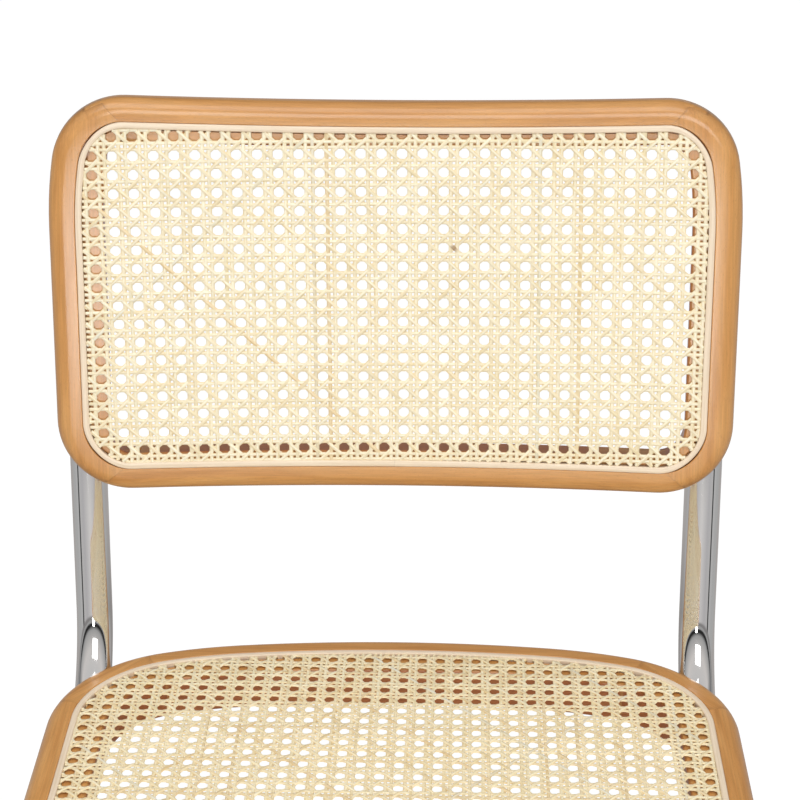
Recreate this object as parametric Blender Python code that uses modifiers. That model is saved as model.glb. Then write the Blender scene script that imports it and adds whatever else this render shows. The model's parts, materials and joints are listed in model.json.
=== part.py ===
"""Cantilever dining chair: one bent steel tube, a wooden back and seat frame, cane in both.

Metres, +Z up, the sitter faces -Y, and X = 0 is the plane of symmetry. The floor is Z = 0 and
the origin lies under the middle of the base.
"""

import math

import bmesh
import bpy
from mathutils import Matrix, Vector

CHAIR = "cane_back_chair"

# Clearance left between pieces that touch
GAP = 0.0003
# How far a cutter runs past the face it cuts
OVERRUN = 0.002

# Main sizes. The seat is set back from the front of the base, and the back in from the seat's rear.
SEAT_WIDTH = 0.473
SEAT_DEPTH = 0.452
SEAT_MIDDLE_HEIGHT = 0.4487
SEAT_SETBACK = 0.0027
BACK_HEIGHT = 0.266
BACK_MIDDLE_HEIGHT = 0.7079
BACK_SETBACK = 0.0091
BASE_DEPTH = 0.516
SEAT_FORWARD = (BASE_DEPTH - SEAT_DEPTH) / 2 - SEAT_SETBACK
BACK_REARWARD = SEAT_DEPTH / 2 - SEAT_FORWARD - BACK_SETBACK

# Steel tube. It runs in from the seat's sides, and the back reaches past it.
TUBE_RADIUS = 0.0127
TUBE_WALL = 0.002
TUBE_INSET = 0.0225
TUBE_SPACING = SEAT_WIDTH - 2 * TUBE_INSET
REAR_BEND_RADIUS = 0.087
FRONT_BEND_RADIUS = 0.078
FOOT_BEND_RADIUS = 0.078
FLOOR_CORNER_RADIUS = 0.090
LEG_LEAN = 2.9
UPRIGHT_SHORTFALL = 0.042
UPRIGHT_TOP = BACK_HEIGHT / 2 - UPRIGHT_SHORTFALL
TUBE_SIDES = 16
BEND_STEPS = 5

# Back frame: outline, measured from the middle of the panel
BACK_RECLINE = 9.5
BACK_CURVE_RADIUS = 2.41
BACK_OVERHANG = 0.015
BACK_WIDTH = TUBE_SPACING + 2 * BACK_OVERHANG
BACK_THICKNESS = 0.024
BACK_TOP_CORNER = 0.048
BACK_TOP_CORNER_END = 81.0
BACK_SHOULDER_RADIUS = 0.300
BACK_BOTTOM_CORNER = 0.050
BACK_TOP_SAG = -2.3
BACK_BOTTOM_SAG = -0.8
BACK_TUBE_BED = 0.0009
STILE_WIDTH = 0.036
TOP_RAIL_WIDTH = 0.029
BOTTOM_RAIL_WIDTH = 0.033
STILE_BORDER = 0.0176
TOP_RAIL_BORDER = 0.0150
BOTTOM_RAIL_BORDER = 0.0163
BACK_TOP_JOINT = 25.0
BACK_BOTTOM_JOINT = 32.0

# Seat frame: outline, measured from the middle of the seat
SEAT_TILT = 2.9
SEAT_THICKNESS = 0.032
SEAT_RAIL_WIDTH = 0.041
SEAT_BORDER = 0.0183
SEAT_SIDE_BORDER = 0.0174
SEAT_TUBE_BED = 0.0055
SEAT_REAR_BOW = 7.0
SEAT_SHOULDER_RADIUS = 0.300
SEAT_SHOULDER_END = 18.0
SEAT_REAR_CORNER = 0.099
SEAT_FRONT_BOW = 4.0
SEAT_FRONT_CORNER = 0.062
SEAT_REAR_JOINT = 29.0
SEAT_SIDE_JOINT = 73.0
SEAT_FRONT_JOINT = 16.0
SEAT_FRONT_SIDE_JOINT = 74.0

# Rail section shared by both frames
FRONT_ROUND = 0.010
REAR_ROUND = 0.008
ROUND_STEPS = 3
INNER_BEVEL = 0.0015
FLANGE_RECESS = 0.003
GROOVE_WIDTH = 0.0058
GROOVE_DEPTH = 0.006
FINGER_LENGTH = 0.012
FINGER_LAYERS = 5

# Reed spline and cane
SPLINE_WIDTH = 0.0042
SPLINE_CROWN = 0.0004
SPLINE_TAPER = 0.0004
SPLINE_DEPTH = 0.0054
CANE_DROP = 0.0006
CANE_THICKNESS = 0.001
LIP_DEPTH = 0.0054
LIP_SHOULDER = 0.0003
CANE_WIDE_PITCH = 0.0136
CANE_NARROW_PITCH = 0.0127
NET_CELLS = 2
NET_GAP_SHARE = 0.56
NET_MARGIN = 0.006

# Screws, plugs and glides
SCREW_RADIUS = 0.0025
SCREW_LENGTH = 0.038
SCREW_TIP = 0.005
SCREW_HEAD_RADIUS = 0.0048
SCREW_HEAD_HEIGHT = 0.0032
BACK_SCREW_INSET = 0.071
SEAT_SCREW_INSET = 0.020
PLUG_LENGTH = 0.016
PLUG_RIM = 0.0015
PLUG_DOME = 0.0025
GLIDE_RADIUS = 0.0095
GLIDE_LIFT = 0.004
GLIDE_SHOULDER = 0.003
GLIDE_INSET = 0.012
PEG_RADIUS = 0.003
PEG_LENGTH = 0.006
ROUND_SIDES = 10
SCREW_SIDES = 8

# How far a facet may lie inside the curve it stands for
CHORD_ERROR = 0.00066
MERGE = 0.00001


def clear_scene():
    for old in list(bpy.data.objects):
        bpy.data.objects.remove(old, do_unlink=True)


def new_collection(name):
    collection = bpy.data.collections.new(name)
    bpy.context.scene.collection.children.link(collection)
    return collection


clear_scene()
parts = new_collection(CHAIR)
cutters = new_collection("cutters")


def material(name, colour, roughness, metallic=0.0):
    made = bpy.data.materials.new(name)
    made.use_nodes = True
    shader = made.node_tree.nodes["Principled BSDF"]
    shader.inputs["Base Color"].default_value = (*colour, 1.0)
    shader.inputs["Roughness"].default_value = roughness
    shader.inputs["Metallic"].default_value = metallic
    return made


CHROME = material("chromed steel", (0.62, 0.63, 0.65), 0.08, 1.0)
ZINC = material("zinc plated steel", (0.55, 0.55, 0.54), 0.28, 1.0)
BEECH = material("honey stained beech", (0.56, 0.32, 0.13), 0.38)
CANE = material("cane", (0.86, 0.76, 0.53), 0.62)
REED = material("reed", (0.88, 0.74, 0.56), 0.55)
PLASTIC = material("dark plastic", (0.025, 0.025, 0.027), 0.42)


def add_object(name, mesh, skin=None, collection=None, parent=None):
    made = bpy.data.objects.new(name, mesh)
    (collection or parts).objects.link(made)
    if skin:
        mesh.materials.clear()
        mesh.materials.append(skin)
    made.parent = parent
    return made


def add_empty(name, place, tilt):
    made = bpy.data.objects.new(name, None)
    parts.objects.link(made)
    made.location = place
    made.rotation_euler = (math.radians(tilt), 0.0, 0.0)
    return made


def as_cutter(made):
    made.hide_render = True
    made.display_type = "WIRE"
    return made


def boolean(target, cutter, operation="DIFFERENCE"):
    step = target.modifiers.new(operation.lower(), "BOOLEAN")
    step.object = cutter
    step.operation = operation
    step.solver = "EXACT"
    return step


def evaluated_mesh(made, name):
    bpy.context.view_layer.update()
    graph = bpy.context.evaluated_depsgraph_get()
    mesh = bpy.data.meshes.new_from_object(made.evaluated_get(graph))
    mesh.name = name
    return mesh


def mesh_from(bm, name):
    bmesh.ops.recalc_face_normals(bm, faces=bm.faces)
    mesh = bpy.data.meshes.new(name)
    bm.to_mesh(mesh)
    bm.free()
    return mesh


def smooth(mesh, angle=35.0):
    mesh.shade_smooth()
    mesh.set_sharp_from_angle(angle=math.radians(angle))


def prism(name, outline, low, high, collection=None, parent=None):
    """A flat outline in X and Y, pulled up from low to high."""
    bm = bmesh.new()
    face = bm.faces.new([bm.verts.new((x, y, low)) for x, y in outline])
    pulled = bmesh.ops.extrude_face_region(bm, geom=[face])
    raised = [item for item in pulled["geom"] if isinstance(item, bmesh.types.BMVert)]
    bmesh.ops.translate(bm, verts=raised, vec=(0.0, 0.0, high - low))
    return add_object(name, mesh_from(bm, name), None, collection or cutters, parent)


def facet_angle(radius):
    """Turn of one facet whose chord stays within the allowed error."""
    return 2.0 * math.acos(1.0 - CHORD_ERROR / radius)


class Outline:
    """A closed outline, walked anticlockwise from the middle of its near side.

    It is a list of stretches of even curvature, each a length and the turn made along it. Where
    the frame is laid on a curve afterwards, bent is that curve's radius.
    """

    def __init__(self, width, height, near_bow, near_corner, far_bow, far_corner, bent=0.0):
        near, near_rise = self.end_run(width / 2, near_bow, near_corner)
        far, far_rise = self.end_run(width / 2, far_bow, far_corner)
        side = [(height - near_rise - far_rise, 0.0)]
        right = near + side + far[::-1]
        self.stretches = right + right[::-1]
        self.length = sum(length for length, turn in self.stretches)
        self.start = Vector((0.0, -height / 2))
        self.bent = bent

    @staticmethod
    def end_run(half_width, bow, corner):
        """From the middle of an end to the side: a bow, then arcs given as radius and end angle."""
        arcs = []
        across = 0.0
        rise = 0.0
        angle = math.radians(bow)
        for radius, end in corner:
            after = math.radians(end)
            arcs.append((radius * (after - angle), after - angle))
            across += radius * (math.sin(after) - math.sin(angle))
            rise += radius * (math.cos(angle) - math.cos(after))
            angle = after
        bow = math.radians(bow)
        middle = half_width - across
        rise += middle * math.tan(bow / 2)
        return [(middle * bow / math.sin(bow), bow)] + arcs, rise

    def at(self, distance):
        """Point, heading and outward direction at a distance along the outline."""
        x, y = self.start
        heading = 0.0
        left = min(max(distance, 0.0), self.length)
        for length, turn in self.stretches:
            share = min(left / length, 1.0)
            turned = turn * share
            if turn:
                radius = length / turn
                x += radius * (math.sin(heading + turned) - math.sin(heading))
                y += radius * (math.cos(heading) - math.cos(heading + turned))
            else:
                x += length * share * math.cos(heading)
                y += length * share * math.sin(heading)
            heading += turned
            left -= length * share
            if share < 1.0:
                break
        return Vector((x, y)), heading

    def where_heading(self, degrees):
        """Distance at which the corner arcs reach a heading."""
        wanted = math.radians(degrees)
        heading = 0.0
        done = 0.0
        for length, turn in self.stretches:
            if turn > 0.0 and heading <= wanted <= heading + turn:
                return done + length * (wanted - heading) / turn
            heading += turn
            done += length
        return done

    def stations(self, first=0.0, last=None):
        """Distances between which the outline is near enough straight."""
        last = self.length if last is None else last
        found = [first]
        done = 0.0
        for length, turn in self.stretches:
            steps = 1
            if turn:
                steps = math.ceil(abs(turn) / facet_angle(length / abs(turn)))
            if self.bent:
                steps = max(steps, math.ceil(length / self.bent / facet_angle(self.bent)))
            for step in range(steps):
                here = done + length * step / steps
                if first + OVERRUN < here < last - OVERRUN:
                    found.append(here)
            done += length
        return found + [last]


class Frame:
    """A rail frame with a grooved face: its outline and the widths that change round it."""

    def __init__(self, outline, thickness, side, near, far, curve_radius=None):
        self.outline = outline
        self.thickness = thickness
        self.side = side
        self.near = near
        self.far = far
        self.curve_radius = curve_radius

    def widths(self, heading):
        """Rail width and border width, eased from the sides to the two ends."""
        ease = math.sin(heading) ** 2
        end = self.near if math.cos(heading) > 0.0 else self.far
        return [side * ease + other * (1.0 - ease) for side, other in zip(self.side, end)]

    def section(self, heading):
        """Rail section as distance in from the outer edge and height above the front face."""
        width, border = self.widths(heading)
        low = -self.thickness
        groove_end = border + GROOVE_WIDTH
        points = []
        for step in range(ROUND_STEPS + 1):
            angle = math.radians(90.0) * step / ROUND_STEPS
            points.append((FRONT_ROUND * (1.0 - math.cos(angle)), FRONT_ROUND * (math.sin(angle) - 1.0)))
        points += [(border, 0.0), (border, -GROOVE_DEPTH), (groove_end, -GROOVE_DEPTH)]
        points += [(groove_end, -FLANGE_RECESS), (width - INNER_BEVEL, -FLANGE_RECESS)]
        points += [(width, -FLANGE_RECESS - INNER_BEVEL), (width, low + INNER_BEVEL)]
        points += [(width - INNER_BEVEL, low)]
        for step in range(ROUND_STEPS + 1):
            angle = math.radians(90.0) * step / ROUND_STEPS
            points.append((REAR_ROUND * (1.0 - math.sin(angle)), low + REAR_ROUND * (1.0 - math.cos(angle))))
        return points

    def spline_section(self, heading):
        border = self.widths(heading)[1]
        near = border + GAP
        far = near + SPLINE_WIDTH
        return [
            (near, -SPLINE_CROWN),
            (near + SPLINE_WIDTH / 3, SPLINE_CROWN),
            (far - SPLINE_WIDTH / 3, SPLINE_CROWN),
            (far, -SPLINE_CROWN),
            (far - SPLINE_TAPER, -SPLINE_DEPTH),
            (near + SPLINE_TAPER, -SPLINE_DEPTH),
        ]

    def lip(self, heading):
        """Near and far side of the cane's turned-down edge."""
        near = self.widths(heading)[1] + SPLINE_WIDTH + 2 * GAP
        return near, self.widths(heading)[1] + GROOVE_WIDTH - GAP

    def lip_section(self, heading):
        near, far = self.lip(heading)
        high = -CANE_DROP - LIP_SHOULDER
        return [(near, high), (far, high), (far, -LIP_DEPTH), (near, -LIP_DEPTH)]

    def loft(self, section, distances, closed=False):
        """Carry a section along the outline and cap it where it is open."""
        bm = bmesh.new()
        rings = []
        for distance in distances:
            point, heading = self.outline.at(distance)
            inward = Vector((-math.sin(heading), math.cos(heading)))
            ring = []
            for across, height in section(heading):
                place = point + inward * across
                ring.append(bm.verts.new((place.x, place.y, height)))
            rings.append(ring)
        following = rings[1:] + ([rings[0]] if closed else [])
        for ring, after in zip(rings, following):
            for index in range(len(ring)):
                other = (index + 1) % len(ring)
                bm.faces.new((ring[index], ring[other], after[other], after[index]))
        if not closed:
            bm.faces.new(rings[0])
            bm.faces.new(rings[-1][::-1])
        return bm

    def bend(self, mesh):
        """Lay a flat mesh on the frame's curve, with its sides towards the sitter."""
        radius = self.curve_radius
        if radius:
            for vert in mesh.vertices:
                angle = vert.co.x / radius
                reach = radius - vert.co.z
                vert.co.x = reach * math.sin(angle)
                vert.co.z = radius - reach * math.cos(angle)

    def finger_cutter(self, name, distance, tongue, forward):
        """What a rail end loses at a finger joint, where the wood of the two pieces takes turns.

        Every second layer belongs to the tongued piece and the others, with both faces, to the
        forked one. forward is true where the piece lies before the joint, going round the outline.
        """
        half = FINGER_LENGTH / 2
        far = FINGER_LENGTH * 2
        top = OVERRUN
        bottom = -self.thickness - OVERRUN
        play = GAP / 2
        shoulder = -half - play if tongue else half - play
        tip = half - play if tongue else -half - play
        steps = [(far, top), (shoulder, top)]
        for index in range(1, FINGER_LAYERS):
            inward = index % 2 == 1
            clear = play if inward != tongue else -play
            edge = clear - self.thickness * index / FINGER_LAYERS
            before, after = (shoulder, tip) if inward else (tip, shoulder)
            steps += [(before, edge), (after, edge)]
        steps += [(shoulder, bottom), (far, bottom)]
        way = 1.0 if forward else -1.0
        steps = [(way * along, height) for along, height in steps]
        cutter = prism(name, steps, -SEAT_RAIL_WIDTH - OVERRUN, OVERRUN)
        point, heading = self.outline.at(distance)
        along = Vector((math.cos(heading), math.sin(heading), 0.0))
        outward = Vector((math.sin(heading), -math.cos(heading), 0.0))
        turn = Matrix((along, Vector((0.0, 0.0, 1.0)), outward)).transposed()
        cutter.matrix_world = Matrix.Translation((point.x, point.y, 0.0)) @ turn.to_4x4()
        return as_cutter(cutter)

    def rail(self, name, start, end, parent, tongues):
        """One wooden piece from one finger joint to the next."""
        reach = FINGER_LENGTH
        first = start - reach
        last = end + reach
        distances = self.outline.stations(max(first, 0.0), min(last, self.outline.length))
        if first < 0.0:
            before = self.outline.stations(self.outline.length + first, self.outline.length)
            distances = before[:-1] + distances
        flat = add_object(name + "_flat", mesh_from(self.loft(self.section, distances), name), None, cutters)
        around = self.outline.length
        start_cutter = self.finger_cutter(name + "_start", start % around, tongues, False)
        end_cutter = self.finger_cutter(name + "_end", end % around, tongues, True)
        boolean(flat, start_cutter)
        boolean(flat, end_cutter)
        mesh = evaluated_mesh(flat, name)
        bpy.data.objects.remove(flat, do_unlink=True)
        self.bend(mesh)
        smooth(mesh)
        return add_object(name, mesh, BEECH, parts, parent)

    def spline(self, name, parent):
        """The reed strip pressed into the groove, its ends butted at the near middle."""
        distances = self.outline.stations(GAP / 2, self.outline.length - GAP / 2)
        mesh = mesh_from(self.loft(self.spline_section, distances), name)
        self.bend(mesh)
        smooth(mesh)
        return add_object(name, mesh, REED, parts, parent)

    def net(self, name, parent, across_pitch, along_pitch):
        """The cane as a flat net with its edge turned down into the groove.

        Each gap of the net stands for a square of woven holes, NET_CELLS across and along.
        """
        distances = self.outline.stations()[:-1]
        rim = []
        for distance in distances:
            point, heading = self.outline.at(distance)
            inward = Vector((-math.sin(heading), math.cos(heading)))
            rim.append(point + inward * (self.lip(heading)[0] + LIP_SHOULDER))
        half_x = max(point.x for point in rim)
        half_y = max(abs(point.y) for point in rim)
        columns = gap_lines(half_x, across_pitch * NET_CELLS, False)
        rows = gap_lines(half_y, along_pitch * NET_CELLS, True)
        bm = bmesh.new()
        bmesh.ops.create_grid(bm, x_segments=len(columns) - 1, y_segments=len(rows) - 1, size=1.0)
        for vert in bm.verts:
            column = round((vert.co.x + 1.0) / 2.0 * (len(columns) - 1))
            row = round((vert.co.y + 1.0) / 2.0 * (len(rows) - 1))
            vert.co = (columns[column], rows[row], -CANE_DROP)
        gaps = []
        for face in bm.faces:
            middle = face.calc_center_median()
            column = sum(1 for value in columns if value < middle.x)
            row = sum(1 for value in rows if value < middle.y)
            if column % 2 == 0 and row % 2 == 0:
                if all(inside(rim, vert.co.xy, NET_MARGIN) for vert in face.verts):
                    gaps.append(face)
        bmesh.ops.delete(bm, geom=gaps, context="FACES")
        sheet = add_object(name + "_sheet", mesh_from(bm, name), None, cutters)
        thicken = sheet.modifiers.new("thickness", "SOLIDIFY")
        thicken.thickness = CANE_THICKNESS
        thicken.offset = -1.0 if sheet.data.polygons[0].normal.z > 0.0 else 1.0
        edge = prism(name + "_edge", [tuple(point) for point in rim], -LIP_DEPTH, GROOVE_DEPTH)
        boolean(sheet, as_cutter(edge), "INTERSECT")
        lip = mesh_from(self.loft(self.lip_section, distances, closed=True), name + "_lip")
        lip_ring = add_object(name + "_lip", lip, None, cutters)
        boolean(sheet, as_cutter(lip_ring), "UNION")
        mesh = evaluated_mesh(sheet, name)
        bpy.data.objects.remove(sheet, do_unlink=True)
        self.bend(mesh)
        return add_object(name, mesh, CANE, parts, parent)


def gap_lines(half, pitch, strand_in_middle):
    """Lines that bound the gaps of a net across -half to half, gaps and strands in turn."""
    width = pitch * NET_GAP_SHARE
    lines = [-half - OVERRUN]
    count = math.ceil(half / pitch) + 1
    shift = pitch / 2 if strand_in_middle else 0.0
    for index in range(-count, count + 1):
        middle = index * pitch + shift
        if abs(middle) + width / 2 < half - NET_MARGIN:
            lines += [middle - width / 2, middle + width / 2]
    return lines + [half + OVERRUN]


def inside(rim, point, margin):
    """Whether a point lies inside an outline by more than a margin."""
    crossings = 0
    for here, after in zip(rim, rim[1:] + rim[:1]):
        span = after - here
        share = min(max((point - here).dot(span) / span.length_squared, 0.0), 1.0)
        if (point - here - span * share).length < margin:
            return False
        if (here.y > point.y) != (after.y > point.y):
            if point.x < here.x + span.x * (point.y - here.y) / span.y:
                crossings += 1
    return crossings % 2 == 1


def tube_path():
    """Centre line of the steel tube and the number of points on its first side.

    It runs down the left upright, forward under the seat, down the leg, back along the floor and
    across, and the same way up the other side.
    """
    half = TUBE_SPACING / 2
    recline = math.radians(BACK_RECLINE)
    tilt = math.radians(SEAT_TILT)
    lean = math.radians(LEG_LEAN)
    top = upright_point(UPRIGHT_TOP)
    upright = Vector((0.0, -math.sin(recline), -math.cos(recline)))
    run = Vector((0.0, -math.cos(tilt), math.sin(tilt)))
    on_run = run_point(0.0)
    floor = GLIDE_LIFT + TUBE_RADIUS
    leg = Vector((0.0, -math.sin(lean), -math.cos(lean)))
    foot_centre = Vector((0.0, TUBE_RADIUS + FOOT_BEND_RADIUS - BASE_DEPTH / 2, floor + FOOT_BEND_RADIUS))
    leg_point = foot_centre + Vector((0.0, -math.cos(lean), math.sin(lean))) * FOOT_BEND_RADIUS
    rear_corner = crossing(top, upright, on_run, run)
    front_corner = crossing(on_run, run, leg_point, leg)
    foot_corner = crossing(leg_point, leg, Vector((0.0, 0.0, floor)), Vector((0.0, 1.0, 0.0)))
    floor_corner = Vector((0.0, BASE_DEPTH / 2 - TUBE_RADIUS, floor))
    side = [top, rear_corner, front_corner, foot_corner, floor_corner]
    left = [Vector((-half, point.y, point.z)) for point in side]
    right = [Vector((half, point.y, point.z)) for point in side[::-1]]
    radii = [REAR_BEND_RADIUS, FRONT_BEND_RADIUS, FOOT_BEND_RADIUS, FLOOR_CORNER_RADIUS]
    return rounded(left + right, radii + radii[::-1])


def upright_point(height):
    """Point on the upright's axis, a height up the back panel from its middle."""
    recline = math.radians(BACK_RECLINE)
    half = TUBE_SPACING / 2
    forward = BACK_CURVE_RADIUS - math.sqrt(BACK_CURVE_RADIUS ** 2 - half ** 2)
    behind = BACK_THICKNESS - BACK_TUBE_BED + TUBE_RADIUS + GAP - forward
    up = Vector((0.0, math.sin(recline), math.cos(recline)))
    back = Vector((0.0, math.cos(recline), -math.sin(recline)))
    return back_middle + up * height + back * behind


def run_point(distance):
    """Point on the seat run's axis, a distance behind the middle of the seat."""
    tilt = math.radians(SEAT_TILT)
    below = SEAT_THICKNESS - SEAT_TUBE_BED + TUBE_RADIUS + GAP
    rearward = Vector((0.0, math.cos(tilt), -math.sin(tilt)))
    down = Vector((0.0, -math.sin(tilt), -math.cos(tilt)))
    return seat_middle + rearward * distance + down * below


def along_seat(point):
    """How far behind the middle of the seat a point lies, measured along the seat."""
    tilt = math.radians(SEAT_TILT)
    return (point - seat_middle).dot(Vector((0.0, math.cos(tilt), -math.sin(tilt))))


def on_side(point, sign):
    """A point moved across onto the tube's centre line on one side."""
    return Vector((sign * TUBE_SPACING / 2, point.y, point.z))


def crossing(first, first_way, second, second_way):
    """Where two lines in the side plane cross."""
    over = first_way.y * second_way.z - first_way.z * second_way.y
    span = second - first
    share = (span.y * second_way.z - span.z * second_way.y) / over
    return first + first_way * share


def rounded(corners, radii):
    """A line through corners, each inner one rounded to its radius."""
    points = [corners[0]]
    for before, corner, after, radius in zip(corners, corners[1:], corners[2:], radii):
        back = (before - corner).normalized()
        on = (after - corner).normalized()
        half_turn = (math.pi - back.angle(on)) / 2
        centre = corner + (back + on).normalized() * (radius / math.cos(half_turn))
        arm = corner + back * (radius * math.tan(half_turn)) - centre
        axis = back.cross(on) * -1.0
        for step in range(BEND_STEPS + 1):
            turn = Matrix.Rotation(2.0 * half_turn * step / BEND_STEPS, 3, axis)
            points.append(centre + turn @ arm)
    return points + [corners[-1]]


def tube_mesh(name, points, radius, caps):
    """A round tube along points."""
    curve = bpy.data.curves.new(name, "CURVE")
    curve.dimensions = "3D"
    curve.bevel_depth = radius
    curve.bevel_resolution = (TUBE_SIDES - 4) // 2
    curve.use_fill_caps = caps
    line = curve.splines.new("POLY")
    line.points.add(len(points) - 1)
    for knot, point in zip(line.points, points):
        knot.co = (*point, 1.0)
    holder = bpy.data.objects.new(name, curve)
    cutters.objects.link(holder)
    mesh = evaluated_mesh(holder, name)
    bpy.data.objects.remove(holder, do_unlink=True)
    bm = bmesh.new()
    bm.from_mesh(mesh)
    bmesh.ops.remove_doubles(bm, verts=bm.verts, dist=MERGE)
    bmesh.ops.recalc_face_normals(bm, faces=bm.faces)
    bm.to_mesh(mesh)
    bm.free()
    return mesh


def turned(name, profile, skin, sides=ROUND_SIDES):
    """A turned piece about Z, from a profile of radius and height that runs down its outer side."""
    bm = bmesh.new()
    knots = [bm.verts.new((radius, 0.0, height)) for radius, height in profile]
    for here, after in zip(knots, knots[1:]):
        bm.edges.new((here, after))
    mesh = bpy.data.meshes.new(name)
    bm.to_mesh(mesh)
    bm.free()
    made = add_object(name, mesh, skin)
    lathe = made.modifiers.new("lathe", "SCREW")
    lathe.steps = sides
    lathe.render_steps = sides
    lathe.use_merge_vertices = True
    lathe.merge_threshold = MERGE
    lathe.use_smooth_shade = True
    return made


def rod_cutter(name, place, way, radius, low, high, sides=ROUND_SIDES):
    """A round cutter along a direction, from low to high past a place.

    It is turned a quarter of a facet, so that none of its corners meets an edge of the tube.
    """
    bm = bmesh.new()
    bmesh.ops.create_cone(
        bm, cap_ends=True, segments=sides, radius1=radius, radius2=radius, depth=high - low
    )
    bmesh.ops.translate(bm, verts=bm.verts, vec=(0.0, 0.0, (high + low) / 2))
    bmesh.ops.transform(bm, matrix=Matrix.Rotation(math.pi / sides / 2, 4, "Z"), verts=bm.verts)
    made = add_object(name, mesh_from(bm, name), None, cutters)
    made.matrix_world = Matrix.Translation(place) @ way.to_track_quat("Z", "Y").to_matrix().to_4x4()
    return as_cutter(made)


back_middle = Vector((0.0, BACK_REARWARD, BACK_MIDDLE_HEIGHT))
seat_middle = Vector((0.0, -SEAT_FORWARD, SEAT_MIDDLE_HEIGHT))

# Back frame
back_outline = Outline(
    BACK_WIDTH,
    BACK_HEIGHT,
    BACK_BOTTOM_SAG,
    [(BACK_BOTTOM_CORNER, 90.0)],
    BACK_TOP_SAG,
    [(BACK_TOP_CORNER, BACK_TOP_CORNER_END), (BACK_SHOULDER_RADIUS, 90.0)],
    BACK_CURVE_RADIUS,
)
back_frame = Frame(
    back_outline,
    BACK_THICKNESS,
    (STILE_WIDTH, STILE_BORDER),
    (BOTTOM_RAIL_WIDTH, BOTTOM_RAIL_BORDER),
    (TOP_RAIL_WIDTH, TOP_RAIL_BORDER),
    BACK_CURVE_RADIUS,
)
back_origin = add_empty("back_origin", back_middle, 90.0 - BACK_RECLINE)
lower_right = back_outline.where_heading(BACK_BOTTOM_JOINT)
upper_right = back_outline.where_heading(180.0 - BACK_TOP_JOINT)
upper_left = back_outline.length - upper_right
lower_left = back_outline.length - lower_right
back_frame.rail("back_bottom_rail", -lower_right, lower_right, back_origin, True)
back_frame.rail("back_top_rail", upper_right, upper_left, back_origin, True)
right_stile = back_frame.rail("back_right_stile", lower_right, upper_right, back_origin, False)
left_stile = back_frame.rail("back_left_stile", upper_left, lower_left, back_origin, False)
back_frame.spline("back_spline", back_origin)
back_frame.net("back_cane", back_origin, CANE_WIDE_PITCH, CANE_NARROW_PITCH)

# Seat frame
seat_outline = Outline(
    SEAT_WIDTH,
    SEAT_DEPTH,
    SEAT_FRONT_BOW,
    [(SEAT_FRONT_CORNER, 90.0)],
    SEAT_REAR_BOW,
    [(SEAT_SHOULDER_RADIUS, SEAT_SHOULDER_END), (SEAT_REAR_CORNER, 90.0)],
)
seat_side = (SEAT_RAIL_WIDTH, SEAT_SIDE_BORDER)
seat_end = (SEAT_RAIL_WIDTH, SEAT_BORDER)
seat_frame = Frame(seat_outline, SEAT_THICKNESS, seat_side, seat_end, seat_end)
seat_origin = add_empty("seat_origin", seat_middle, -SEAT_TILT)
front_rail_end = seat_outline.where_heading(SEAT_FRONT_JOINT)
side_rail_start = seat_outline.where_heading(SEAT_FRONT_SIDE_JOINT)
side_rail_end = seat_outline.where_heading(180.0 - SEAT_SIDE_JOINT)
rear_rail_start = seat_outline.where_heading(180.0 - SEAT_REAR_JOINT)
seat_round = seat_outline.length
seat_frame.rail("seat_front_rail", -front_rail_end, front_rail_end, seat_origin, True)
seat_frame.rail("seat_rear_rail", rear_rail_start, seat_round - rear_rail_start, seat_origin, True)
right_rail = seat_frame.rail("seat_right_rail", side_rail_start, side_rail_end, seat_origin, True)
left_rail = seat_frame.rail(
    "seat_left_rail", seat_round - side_rail_end, seat_round - side_rail_start, seat_origin, True
)
front_right = seat_frame.rail("seat_front_right_block", front_rail_end, side_rail_start, seat_origin, False)
rear_right = seat_frame.rail("seat_rear_right_block", side_rail_end, rear_rail_start, seat_origin, False)
rear_left = seat_frame.rail(
    "seat_rear_left_block", seat_round - rear_rail_start, seat_round - side_rail_end, seat_origin, False
)
front_left = seat_frame.rail(
    "seat_front_left_block", seat_round - side_rail_start, seat_round - front_rail_end, seat_origin, False
)
seat_frame.spline("seat_spline", seat_origin)
seat_frame.net("seat_cane", seat_origin, CANE_NARROW_PITCH, CANE_WIDE_PITCH)

# Steel tube
path = tube_path()
tube = add_object("frame_tube", tube_mesh("frame_tube", path, TUBE_RADIUS, False), CHROME)
hollow = tube.modifiers.new("wall", "SOLIDIFY")
hollow.thickness = TUBE_WALL
hollow.offset = -1.0

# Room for the tube in the wood that lies on it, one cutter a side
upward = Vector((0.0, path[0].y - path[1].y, path[0].z - path[1].z)).normalized()
room_top = path[0] + upward * (PLUG_RIM + PLUG_DOME + 2 * GAP)
seat_side = [room_top] + path[1 : 1 + 2 * (BEND_STEPS + 1)]
for sign, wood in (
    (1.0, (left_stile, left_rail, rear_left, front_left)),
    (-1.0, (right_stile, right_rail, rear_right, front_right)),
):
    side = [Vector((point.x * sign, point.y, point.z)) for point in seat_side]
    room_mesh = tube_mesh("tube_room", side, TUBE_RADIUS + GAP, True)
    room = as_cutter(add_object("tube_room", room_mesh, None, cutters))
    for piece in wood:
        boolean(piece, room)

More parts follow.
